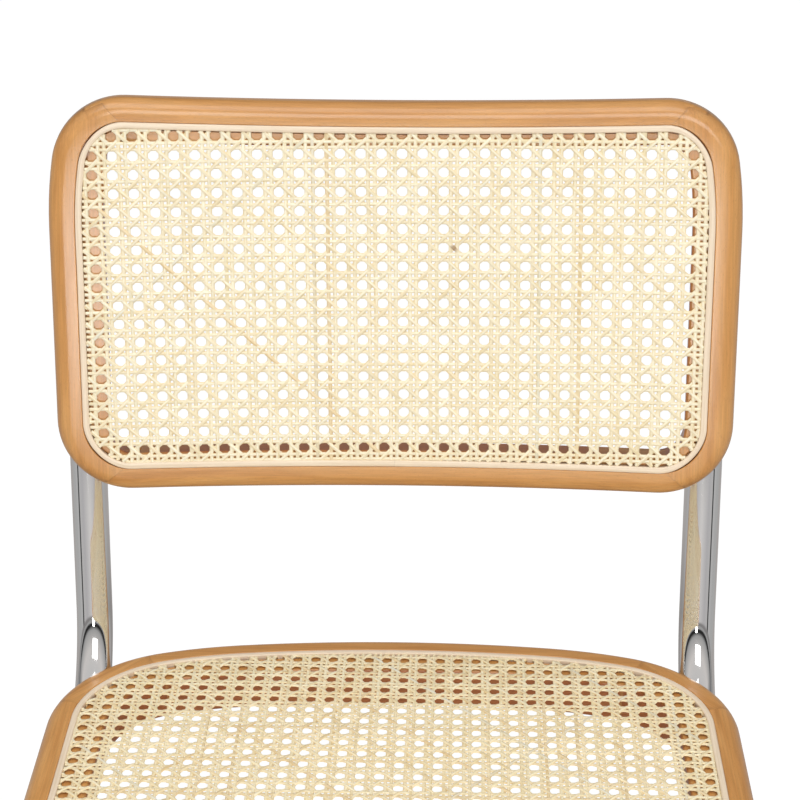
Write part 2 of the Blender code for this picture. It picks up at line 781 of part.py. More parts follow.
# Screws through the tube: up the back into the stiles, and up from below into the seat
recline = math.radians(BACK_RECLINE)
tilt = math.radians(SEAT_TILT)
to_sitter = Vector((0.0, -math.cos(recline), math.sin(recline)))
seat_up = Vector((0.0, math.sin(tilt), math.cos(tilt)))
screw_profile = [
    (0.0, SCREW_HEAD_HEIGHT),
    (SCREW_HEAD_RADIUS * 0.6, SCREW_HEAD_HEIGHT * 0.88),
    (SCREW_HEAD_RADIUS, SCREW_HEAD_HEIGHT * 0.35),
    (SCREW_HEAD_RADIUS, 0.0),
    (SCREW_RADIUS, 0.0),
    (SCREW_RADIUS, SCREW_TIP - SCREW_LENGTH),
    (0.0, -SCREW_LENGTH),
]
bend_points = BEND_STEPS + 1
run_rear, run_front = path[bend_points : bend_points + 2]
floor_front, floor_rear = path[3 * bend_points : 3 * bend_points + 2]
rail_front = seat_outline.at(side_rail_start)[0].y
rail_rear = seat_outline.at(side_rail_end)[0].y
screw_front = run_point(max(rail_front, along_seat(run_front)) + SEAT_SCREW_INSET)
screw_rear = run_point(min(rail_rear, along_seat(run_rear)) - SEAT_SCREW_INSET)
back_screw_reach = BACK_HEIGHT / 2 - BACK_SCREW_INSET
screw_seats = []
for side_name, sign, stile, rail in (("left", -1.0, left_stile, left_rail), ("right", 1.0, right_stile, right_rail)):
    for end_name, height in (("upper", back_screw_reach), ("lower", -back_screw_reach)):
        name = f"back_screw_{end_name}_{side_name}"
        screw_seats.append((name, on_side(upright_point(height), sign), to_sitter, stile))
    for end_name, place in (("rear", screw_rear), ("front", screw_front)):
        name = f"seat_screw_{end_name}_{side_name}"
        screw_seats.append((name, on_side(place, sign), seat_up, rail))
under_head = TUBE_RADIUS + GAP
for name, axis_point, way, wood in screw_seats:
    screw = turned(name, screw_profile, ZINC, SCREW_SIDES)
    place = axis_point - way * under_head
    screw.matrix_world = Matrix.Translation(place) @ (-way).to_track_quat("Z", "Y").to_matrix().to_4x4()
    room = SCREW_RADIUS + GAP
    hole = rod_cutter(name + "_hole", place, way, room, -OVERRUN, SCREW_LENGTH + GAP, SCREW_SIDES)
    boolean(tube, hole)
    boolean(wood, hole)

# Plugs in the open tops of the uprights
bore = TUBE_RADIUS - TUBE_WALL
plug_profile = [
    (0.0, PLUG_RIM + PLUG_DOME),
    (TUBE_RADIUS * 0.55, PLUG_RIM + PLUG_DOME * 0.8),
    (TUBE_RADIUS * 0.88, PLUG_RIM + PLUG_DOME * 0.35),
    (TUBE_RADIUS, PLUG_RIM),
    (TUBE_RADIUS, 0.0),
    (bore - GAP, 0.0),
    (bore - GAP, -PLUG_LENGTH),
    (0.0, -PLUG_LENGTH),
]
for name, end in (("plug_left", path[0]), ("plug_right", path[-1])):
    plug = turned(name, plug_profile, PLASTIC, TUBE_SIDES)
    place = end + upward * GAP
    plug.matrix_world = Matrix.Translation(place) @ upward.to_track_quat("Z", "Y").to_matrix().to_4x4()

# Glides pegged into the floor runs
peg_top = GLIDE_LIFT + TUBE_WALL + PEG_LENGTH
glide_profile = [
    (0.0, GLIDE_LIFT + GLIDE_SHOULDER),
    (GLIDE_RADIUS, GLIDE_LIFT + GLIDE_SHOULDER),
    (GLIDE_RADIUS, GLIDE_LIFT * 0.25),
    (GLIDE_RADIUS * 0.92, 0.0),
    (0.0, 0.0),
]
for side_name, sign in (("left", -1.0), ("right", 1.0)):
    ends = [on_side(place, sign) for place in (floor_front, floor_rear)]
    saddle = add_object("saddle_room", tube_mesh("saddle_room", ends, TUBE_RADIUS + GAP, True), None, cutters)
    as_cutter(saddle)
    for end_name, y in (("front", floor_front.y + GLIDE_INSET), ("rear", floor_rear.y - GLIDE_INSET)):
        name = f"glide_{end_name}_{side_name}"
        place = on_side(Vector((0.0, y, 0.0)), sign)
        up = Vector((0.0, 0.0, 1.0))
        glide = turned(name, glide_profile, PLASTIC)
        glide.location = place
        boolean(glide, saddle)
        peg = rod_cutter(name + "_peg", place, up, PEG_RADIUS, GLIDE_LIFT / 2, peg_top)
        boolean(glide, peg, "UNION")
        peg_hole = rod_cutter(
            name + "_hole", place, up, PEG_RADIUS + GAP, 0.0, peg_top + GAP
        )
        boolean(tube, peg_hole)
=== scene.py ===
"""Looks of a cantilever dining chair: a chromed steel tube, a beech back and seat, cane in both.

The sections follow the order in which the chair is put together. Metres, +Z up, the sitter faces
-Y, the floor is Z = 0 and X = 0 is the plane of symmetry.
"""

import json
import math
import random

import bmesh
import bpy
from mathutils import Matrix, Vector

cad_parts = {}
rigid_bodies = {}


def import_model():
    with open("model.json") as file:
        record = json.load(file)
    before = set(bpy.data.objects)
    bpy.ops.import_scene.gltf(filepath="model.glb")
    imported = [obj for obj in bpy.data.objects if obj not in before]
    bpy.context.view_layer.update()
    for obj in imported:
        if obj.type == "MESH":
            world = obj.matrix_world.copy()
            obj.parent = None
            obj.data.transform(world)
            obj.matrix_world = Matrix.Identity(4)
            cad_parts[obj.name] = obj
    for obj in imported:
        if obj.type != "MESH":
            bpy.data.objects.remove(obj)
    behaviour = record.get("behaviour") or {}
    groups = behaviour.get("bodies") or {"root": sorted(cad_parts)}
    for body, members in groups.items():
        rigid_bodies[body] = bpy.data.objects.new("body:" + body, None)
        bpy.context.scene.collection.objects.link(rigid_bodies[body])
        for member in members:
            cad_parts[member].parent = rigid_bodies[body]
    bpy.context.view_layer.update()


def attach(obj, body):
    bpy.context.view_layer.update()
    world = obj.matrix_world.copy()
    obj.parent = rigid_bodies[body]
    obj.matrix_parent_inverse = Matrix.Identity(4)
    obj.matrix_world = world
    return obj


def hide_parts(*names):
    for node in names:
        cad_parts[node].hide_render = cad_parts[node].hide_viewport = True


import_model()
scene = bpy.context.scene


# Steel tube: one cold-drawn tube with a 2 mm wall, bent at eight corners on a mandrel, then
# polished and chrome plated. The whole chair hangs on it.
TUBE_RADIUS = 0.0127
TUBE_WALL = 0.002
TUBE_X = 0.214
# Corners of one side as y and z, from the top of the upright round to the rear of the base
TUBE_CORNERS = (
    (0.2288, 0.7933), (0.1629, 0.3994), (-0.2290, 0.4193), (-0.2494, 0.0167), (0.2453, 0.0167),
)
BEND_RADII = (0.087, 0.078, 0.078, 0.090)
BEND_STEPS = 36
TUBE_SIDES = 48


def rounded(corners, radii, steps):
    """A line through corners, each inner one rounded to its radius."""
    points = [corners[0]]
    for before, corner, after, radius in zip(corners, corners[1:], corners[2:], radii):
        back = (before - corner).normalized()
        on = (after - corner).normalized()
        half_turn = (math.pi - back.angle(on)) / 2
        centre = corner + (back + on).normalized() * (radius / math.cos(half_turn))
        arm = corner + back * (radius * math.tan(half_turn)) - centre
        axis = on.cross(back)
        for step in range(steps + 1):
            turn = Matrix.Rotation(2.0 * half_turn * step / steps, 3, axis)
            points.append(centre + turn @ arm)
    return points + [corners[-1]]


def smooth(mesh, angle=35.0):
    """Shade a mesh smooth but for edges sharper than an angle in degrees."""
    mesh.shade_smooth()
    mesh.set_sharp_from_angle(angle=math.radians(angle))


def shown(name, mesh, skin, slot, *nodes):
    """Put a finished mesh in the scene in the place of its CAD nodes."""
    made = bpy.data.objects.new(name, mesh)
    scene.collection.objects.link(made)
    mesh.materials.clear()
    mesh.materials.append(skin)
    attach(made, "root")
    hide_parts(*nodes)


def mesh_from(bm, name):
    """A mesh from a finished bmesh, with its faces turned outward."""
    bmesh.ops.recalc_face_normals(bm, faces=bm.faces)
    mesh = bpy.data.meshes.new(name)
    bm.to_mesh(mesh)
    bm.free()
    return mesh


def node(tree, kind, inputs=None, **settings):
    """Add a shader node; an input given as a socket is linked, and any other is its value."""
    made = tree.nodes.new("ShaderNode" + kind)
    for name, value in settings.items():
        setattr(made, name, value)
    for name, value in (inputs or {}).items():
        if isinstance(value, bpy.types.NodeSocket):
            tree.links.new(value, made.inputs[name])
        else:
            made.inputs[name].default_value = value
    return made


def ramp(tree, factor, *stops):
    """A colour ramp from stops of place and colour or grey."""
    made = node(tree, "ValToRGB", {"Fac": factor})
    band = made.color_ramp
    while len(band.elements) < len(stops):
        band.elements.new(0.5)
    for element, (place, colour) in zip(band.elements, stops):
        element.position = place
        red, green, blue = colour if isinstance(colour, tuple) else (colour, colour, colour)
        element.color = (red, green, blue, 1.0)
    return made.outputs["Color"]


def new_group(name, inputs, outputs):
    """A shader node group and what it is given and puts out, from names and kinds of sockets."""
    group = bpy.data.node_groups.new(name, "ShaderNodeTree")
    for label, kind, value in inputs:
        socket = group.interface.new_socket(label, in_out="INPUT", socket_type="NodeSocket" + kind)
        socket.default_value = value
    for label, kind in outputs:
        group.interface.new_socket(label, in_out="OUTPUT", socket_type="NodeSocket" + kind)
    given = group.nodes.new("NodeGroupInput").outputs
    put = group.nodes.new("NodeGroupOutput").inputs
    return group, given, put


def maths(tree, operation, *values):
    """The outcome of a sum on numbers and sockets."""
    return node(tree, "Math", dict(enumerate(values)), operation=operation).outputs["Value"]


def ranged(tree, value, low, high, to_low=0.0, to_high=1.0):
    """A value taken from one range to another and kept in it."""
    return node(tree, "MapRange", {
        "Value": value, "From Min": low, "From Max": high, "To Min": to_low, "To Max": to_high,
    }).outputs["Result"]


def add_bump(tree, shader, height, strength, distance):
    """Give a shader relief from a height."""
    relief = node(tree, "Bump", {"Height": height, "Strength": strength, "Distance": distance})
    tree.links.new(relief.outputs["Normal"], shader.inputs["Normal"])


def new_material(name, colour, roughness, metallic=0.0, **more):
    """A material with plain values on its shader, and the tree and shader to add detail to."""
    made = bpy.data.materials.new(name)
    made.use_nodes = True
    shader = made.node_tree.nodes["Principled BSDF"]
    shader.inputs["Base Color"].default_value = (*colour, 1.0)
    shader.inputs["Roughness"].default_value = roughness
    shader.inputs["Metallic"].default_value = metallic
    for name, value in more.items():
        shader.inputs[name.replace("_", " ")].default_value = value
    return made, made.node_tree, shader


# Fine handling marks: cloudy smears and a scatter of short hairlines, for metal and plastic
handling, given, put = new_group(
    "handling marks",
    [("Scale", "Float", 40.0), ("Smooth", "Float", 0.05), ("Rough", "Float", 0.12)],
    [("Roughness", "Float"), ("Height", "Float")],
)
place = node(handling, "TexCoord").outputs["Object"]
cloud = node(handling, "TexNoise", {"Vector": place, "Scale": given["Scale"], "Detail": 4.0})
stretched = node(handling, "Mapping", {"Vector": place, "Scale": (900.0, 900.0, 40.0)})
hairs = node(handling, "TexNoise", {
    "Vector": stretched.outputs["Vector"], "Scale": 1.0, "Detail": 2.0,
})
marks = maths(handling, "MULTIPLY", ranged(handling, hairs.outputs["Fac"], 0.62, 0.75), 0.06)
spread = ranged(handling, cloud.outputs["Fac"], 0.35, 0.7, given["Smooth"], given["Rough"])
handling.links.new(maths(handling, "ADD", spread, marks), put["Roughness"])
handling.links.new(cloud.outputs["Fac"], put["Height"])


def add_handling(tree, shader, scale, smoothest, roughest, bump=0.0):
    """Give a shader the handling marks as its roughness and a slight unevenness."""
    made = node(tree, "Group", node_tree=handling)
    for name, value in (("Scale", scale), ("Smooth", smoothest), ("Rough", roughest)):
        made.inputs[name].default_value = value
    tree.links.new(made.outputs["Roughness"], shader.inputs["Roughness"])
    if bump:
        add_bump(tree, shader, made.outputs["Height"], 0.3, bump)


chrome, tree, shader = new_material("chromed steel", (0.77, 0.765, 0.76), 0.04, 1.0)
add_handling(tree, shader, 30.0, 0.03, 0.08)


def join_rings(bm, ring, following):
    """Join two rings of as many vertices with a band of faces."""
    for index in range(len(ring)):
        nxt = (index + 1) % len(ring)
        bm.faces.new((ring[index], ring[nxt], following[nxt], following[index]))


def swept(name, path, radii):
    """A bar along a path from one radius, or a pipe from its outer and inner radius."""
    bm = bmesh.new()
    across = Vector((1.0, 0.0, 0.0))
    layers = [[] for radius in radii]
    for index, point in enumerate(path):
        before = path[max(index - 1, 0)]
        after = path[min(index + 1, len(path) - 1)]
        ahead = (after - before).normalized()
        across = (across - ahead * across.dot(ahead)).normalized()
        other = ahead.cross(across)
        for layer, radius in zip(layers, radii):
            layer.append([
                bm.verts.new(point + (across * math.cos(turn) + other * math.sin(turn)) * radius)
                for turn in (math.tau * side / TUBE_SIDES for side in range(TUBE_SIDES))
            ])
    for layer in layers:
        for ring, following in zip(layer, layer[1:]):
            join_rings(bm, ring, following)
    if len(layers) > 1:
        join_rings(bm, layers[0][0], layers[1][0])
        join_rings(bm, layers[0][-1], layers[1][-1])
    else:
        bm.faces.new(layers[0][0])
        bm.faces.new(layers[0][-1])
    return mesh_from(bm, name)


left_side = [Vector((-TUBE_X, y, z)) for y, z in TUBE_CORNERS]
right_side = [Vector((TUBE_X, y, z)) for y, z in TUBE_CORNERS[::-1]]
tube_line = rounded(left_side + right_side, BEND_RADII + BEND_RADII[::-1], BEND_STEPS)
tube_mesh = swept("tube", tube_line, (TUBE_RADIUS, TUBE_RADIUS - TUBE_WALL))
smooth(tube_mesh)
shown("steel_tube", tube_mesh, chrome, "chromed_tube", "frame_tube")


# Plugs and glides: moulded black plastic. A plug is pushed into the open top of each upright, and
# a saddle glide is pegged up into each end of the two floor runs.
PLUG_DOME = 0.0025
PLUG_RIM = 0.0015
PLUG_LENGTH = 0.016
PLUG_CHAMFER = 0.0006
DOME_STEPS = 8
GLIDE_RADIUS = 0.0095
GLIDE_HEIGHT = 0.007
GLIDE_Y = (("front", -0.1553), ("rear", 0.1433))
SADDLE_REACH = 0.03
# Radius and height, from the tip down
PEG_PROFILE = ((0.0, 0.012), (0.0024, 0.012), (0.003, 0.0114), (0.003, 0.002), (0.0, 0.002))
GAP = 0.0003
ROUND_SIDES = 40
SIDES = (("left", -TUBE_X), ("right", TUBE_X))

plastic, tree, shader = new_material("moulded black plastic", (0.025, 0.025, 0.027), 0.42)
add_handling(tree, shader, 260.0, 0.36, 0.50, 0.00008)
workshop = bpy.data.collections.new("cutters")
scene.collection.children.link(workshop)


def turned(name, profile, place, way, sides=ROUND_SIDES):
    """A piece turned about a direction from a profile of radius and height, ends on the axis."""
    bm = bmesh.new()
    rings = []
    for radius, height in profile[1:-1]:
        turns = [math.tau * side / sides for side in range(sides)]
        places = [(radius * math.cos(turn), radius * math.sin(turn), height) for turn in turns]
        rings.append([bm.verts.new(spot) for spot in places])
    for ring, following in zip(rings, rings[1:]):
        join_rings(bm, ring, following)
    for ring, height in ((rings[0], profile[0][1]), (rings[-1], profile[-1][1])):
        tip = bm.verts.new((0.0, 0.0, height))
        for index in range(sides):
            bm.faces.new((ring[index], ring[(index + 1) % sides], tip))
    turn = Matrix.Translation(place) @ way.to_track_quat("Z", "Y").to_matrix().to_4x4()
    bmesh.ops.transform(bm, matrix=turn, verts=bm.verts)
    return mesh_from(bm, name)


def cut(mesh, cutters, operation="DIFFERENCE"):
    """A mesh after other meshes are cut from it or joined to it."""
    holder = bpy.data.objects.new("cut", mesh)
    workshop.objects.link(holder)
    for cutter in cutters:
        tool = bpy.data.objects.new("cutter", cutter)
        workshop.objects.link(tool)
        step = holder.modifiers.new("cut", "BOOLEAN")
        step.object = tool
        step.operation = operation
        step.solver = "EXACT"
    bpy.context.view_layer.update()
    graph = bpy.context.evaluated_depsgraph_get()
    result = bpy.data.meshes.new_from_object(holder.evaluated_get(graph))
    result.name = mesh.name
    for old in list(workshop.objects):
        bpy.data.objects.remove(old)
    return result


upright_way = (left_side[0] - left_side[1]).normalized()
bore = TUBE_RADIUS - TUBE_WALL - GAP
dome = [
    (TUBE_RADIUS * math.sin(a), PLUG_RIM + PLUG_DOME * math.cos(a))
    for a in (math.radians(90.0) * step / DOME_STEPS for step in range(DOME_STEPS + 1))
]
plug_profile = dome + [(TUBE_RADIUS, 0.0), (bore, 0.0), (bore, PLUG_CHAMFER - PLUG_LENGTH)]
plug_profile += [(bore - PLUG_CHAMFER, -PLUG_LENGTH), (0.0, -PLUG_LENGTH)]
for side_name, top in (("left", left_side[0]), ("right", right_side[-1])):
    mesh = turned("plug", plug_profile, top + upright_way * GAP, upright_way)
    smooth(mesh)
    shown(f"plug_{side_name}_cap", mesh, plastic, "plug", f"plug_{side_name}")

glide_profile = [(0.0, GLIDE_HEIGHT), (GLIDE_RADIUS, GLIDE_HEIGHT), (GLIDE_RADIUS, 0.0010)]
glide_profile += [(GLIDE_RADIUS * 0.97, 0.0004), (GLIDE_RADIUS * 0.92, 0.0), (0.0, 0.0)]
up = Vector((0.0, 0.0, 1.0))
run_height = TUBE_CORNERS[3][1]
for side_name, x in SIDES:
    for end_name, y in GLIDE_Y:
        foot = turned("glide", glide_profile, Vector((x, y, 0.0)), up)
        run = [Vector((x, y + reach, run_height)) for reach in (-SADDLE_REACH, SADDLE_REACH)]
        foot = cut(foot, [swept("saddle", run, (TUBE_RADIUS + GAP,))])
        foot = cut(foot, [turned("peg", PEG_PROFILE, Vector((x, y, 0.0)), up)], "UNION")
        smooth(foot)
        label = f"glide_{end_name}_{side_name}"
        shown(label + "_foot", foot, plastic, "glide", label)


# Seat frame: eight pieces of solid beech, sawn to the curve and finger jointed end to end, then
# moulded round, grooved for the cane, stained honey brown and lacquered to a satin.
SEAT_MIDDLE = Vector((0.0, -0.0293, 0.4487))
SEAT_TILT = 2.9
SEAT_THICKNESS = 0.032
# Rail width and border width of the left, right, near and far rail
SEAT_WIDTHS = ((0.041, 0.0174), (0.041, 0.0174), (0.041, 0.0183), (0.041, 0.0183))
FRONT_ROUND = 0.010
REAR_ROUND = 0.008
ROUND_STEPS = 9
GROOVE_BEVEL = 0.0005
INNER_BEVEL = 0.0015
FLANGE_RECESS = 0.003
SEAT_LACQUER = 0.45
GROOVE_WIDTH = 0.0058
GROOVE_DEPTH = 0.006
FINGER_LENGTH = 0.012
FINGER_LAYERS = 5
FINGER_PLAY = 0.00005
JOINT_SPARE = 0.018
CUTTER_SPARE = 0.002
CUTTER_INWARD = 0.046
CUTTER_WIDTH = 0.056
FACET_ERROR = 0.00004
SHORTEST_STEP = 0.002
PLUG_ROOM = 0.0045

# Streaks along a fibre: long soft bands with finer ones in them. The vector runs along, across, up
streaks, given, put = new_group(
    "fibre streaks",
    [
        ("Vector", "Vector", (0.0, 0.0, 0.0)), ("Along", "Float", 8.0), ("Across", "Float", 200.0),
        ("Wander", "Float", 0.3),
    ],
    [("Value", "Float")],
)
stretch = node(streaks, "CombineXYZ", {
    "X": given["Along"], "Y": given["Across"], "Z": given["Across"],
})
scaled = node(
    streaks, "VectorMath", {0: given["Vector"], 1: stretch.outputs["Vector"]}, operation="MULTIPLY"
)
streak = node(streaks, "TexNoise", {
    "Vector": scaled.outputs["Vector"], "Scale": 1.0, "Detail": 5.0, "Distortion": given["Wander"],
})
streaks.links.new(streak.outputs["Fac"], put["Value"])


def add_streaks(tree, vector, along, across, wander):
    """The value of the streaks, with their counts in a metre along and across the fibre."""
    made = node(tree, "Group", node_tree=streaks)
    for name, value in (("Along", along), ("Across", across), ("Wander", wander)):
        made.inputs[name].default_value = value
    tree.links.new(vector, made.inputs["Vector"])
    return made.outputs["Value"]


def mixed(tree, factor, under, over, blend="MIX"):
    """Two colours mixed by a factor."""
    made = node(tree, "Mix", data_type="RGBA", blend_type=blend)
    for index, value in ((0, factor), (6, under), (7, over)):
        if isinstance(value, bpy.types.NodeSocket):
            tree.links.new(value, made.inputs[index])
        else:
            made.inputs[index].default_value = (*value, 1.0) if isinstance(value, tuple) else value
    return made.outputs[2]


def store(mesh, name, kind, values):
    """Give each vertex of a mesh a value that its material reads."""
    field = {"FLOAT": "value", "FLOAT_VECTOR": "vector", "FLOAT_COLOR": "color"}[kind]
    mesh.attributes.new(name, kind, "POINT").data.foreach_set(field, values)


def stored(tree, name, output="Fac"):
    """The value that each vertex was given under a name."""
    return node(tree, "Attribute", attribute_name=name).outputs[output]


beech, tree, shader = new_material(
    "honey stained beech", (0.58, 0.29, 0.09), 0.36,
    Specular_IOR_Level=0.3, Coat_Weight=0.8, Coat_Roughness=0.17,
)
grain = stored(tree, "grain", "Vector")
bands = ramp(
    tree, add_streaks(tree, grain, 7.0, 110.0, 0.8),
    (0.30, (0.56, 0.250, 0.068)), (0.52, (0.635, 0.305, 0.092)), (0.74, (0.69, 0.355, 0.118)),
)
fine = add_streaks(tree, grain, 30.0, 900.0, 0.1)
fine_tone = ramp(tree, fine, (0.35, 0.91), (0.65, 1.06))
colour = mixed(tree, 1.0, bands, fine_tone, "MULTIPLY")
flecks = add_streaks(tree, grain, 420.0, 2600.0, 0.0)
fleck_mask = ranged(tree, flecks, 0.60, 0.70)
colour = mixed(tree, maths(tree, "MULTIPLY", fleck_mask, 0.42), colour, (0.30, 0.14, 0.045))
colour = mixed(tree, stored(tree, "end_grain"), colour, (0.33, 0.155, 0.055))
tone_colour = ramp(
    tree, stored(tree, "tone"),
    (0.0, (0.78, 0.74, 0.68)), (0.5, (1.0, 1.0, 1.0)), (1.0, (1.12, 1.16, 1.22)),
)
colour = mixed(tree, 1.0, colour, tone_colour, "MULTIPLY")
# Painted shade: inner faces under the cane are darkened and reddened, for the shade inside the
# frame
painted_shade = mixed(tree, 1.0, colour, (0.80, 0.57, 0.60), "MULTIPLY")
colour = mixed(tree, stored(tree, "inner_face"), colour, painted_shade)
tree.links.new(colour, shader.inputs["Base Color"])
tree.links.new(stored(tree, "lacquer"), shader.inputs["Coat Weight"])
tree.links.new(ranged(tree, fine, 0.0, 1.0, 0.28, 0.46), shader.inputs["Roughness"])
add_bump(tree, shader, maths(tree, "SUBTRACT", fine, fleck_mask), 0.12, 0.0004)


def tube_bed(side):
    """The tube's room along one side of the chair, from above its plug to the foot."""
    corners = [Vector((side * TUBE_X, y, z)) for y, z in TUBE_CORNERS[:4]]
    line = rounded(corners, BEND_RADII[:3], BEND_STEPS)
    line[0] = line[0] + upright_way * PLUG_ROOM
    return swept("bed", line[:-2], (TUBE_RADIUS + GAP,))


class Outline:
    """A closed outline walked anticlockwise from the middle of its near side.

    It is a list of stretches, each a length and the turn made along it. bent is the radius that
    the panel is bowed to later, if it is.
    """

    def __init__(self, width, height, near_bow, near_corner, far_bow, far_corner, bent=0.0):
        near, near_rise = self.end_run(width / 2, near_bow, near_corner)
        far, far_rise = self.end_run(width / 2, far_bow, far_corner)
        right = near + [(height - near_rise - far_rise, 0.0)] + far[::-1]
        self.stretches = right + right[::-1]
        self.length = sum(length for length, turn in self.stretches)
        self.start = Vector((0.0, -height / 2))
        self.bent = bent

    @staticmethod
    def end_run(half_width, bow, corner):
        """From the middle of an end to the side: a bow, then arcs given as radius and end angle."""
        arcs = []
        across = rise = 0.0
        angle = math.radians(bow)
        for radius, end in corner:
            after = math.radians(end)
            arcs.append((radius * (after - angle), after - angle))
            across += radius * (math.sin(after) - math.sin(angle))
            rise += radius * (math.cos(angle) - math.cos(after))
            angle = after
        bow = math.radians(bow)
        middle = half_width - across
        rise += middle * math.tan(bow / 2)
        return [(middle * bow / math.sin(bow), bow)] + arcs, rise

    def at(self, distance):
        """Point and heading at a distance along the outline."""
        x, y = self.start
        heading = 0.0
        left = min(max(distance, 0.0), self.length)
        for length, turn in self.stretches:
            share = min(left / length, 1.0)
            turned_by = turn * share
            if turn:
                radius = length / turn
                x += radius * (math.sin(heading + turned_by) - math.sin(heading))
                y += radius * (math.cos(heading) - math.cos(heading + turned_by))
            else:
                x += length * share * math.cos(heading)
                y += length * share * math.sin(heading)
            heading += turned_by
            left -= length * share
            if share < 1.0:
                break
        return Vector((x, y)), heading

    def where_heading(self, degrees):
        """Distance at which the corner arcs reach a heading."""
        wanted = math.radians(degrees)
        heading = done = 0.0
        for length, turn in self.stretches:
            if turn > 0.0 and heading <= wanted <= heading + turn:
                return done + length * (wanted - heading) / turn
            heading += turn
            done += length
        return done

    def stations(self, first=0.0, last=None):
        """Distances between which the outline is near enough straight."""
        last = self.length if last is None else last
        found = [first]
        done = 0.0
        for length, turn in self.stretches:
            steps = 1
            if turn:
                facet = 2.0 * math.acos(1.0 - FACET_ERROR * abs(turn) / length)
                steps = math.ceil(abs(turn) / facet)
            if self.bent:
                facet = 2.0 * math.acos(1.0 - FACET_ERROR / self.bent)
                steps = max(steps, math.ceil(length / self.bent / facet))
            for step in range(steps):
                here = done + length * step / steps
                if first + SHORTEST_STEP < here < last - SHORTEST_STEP:
                    found.append(here)
            done += length
        return found + [last]


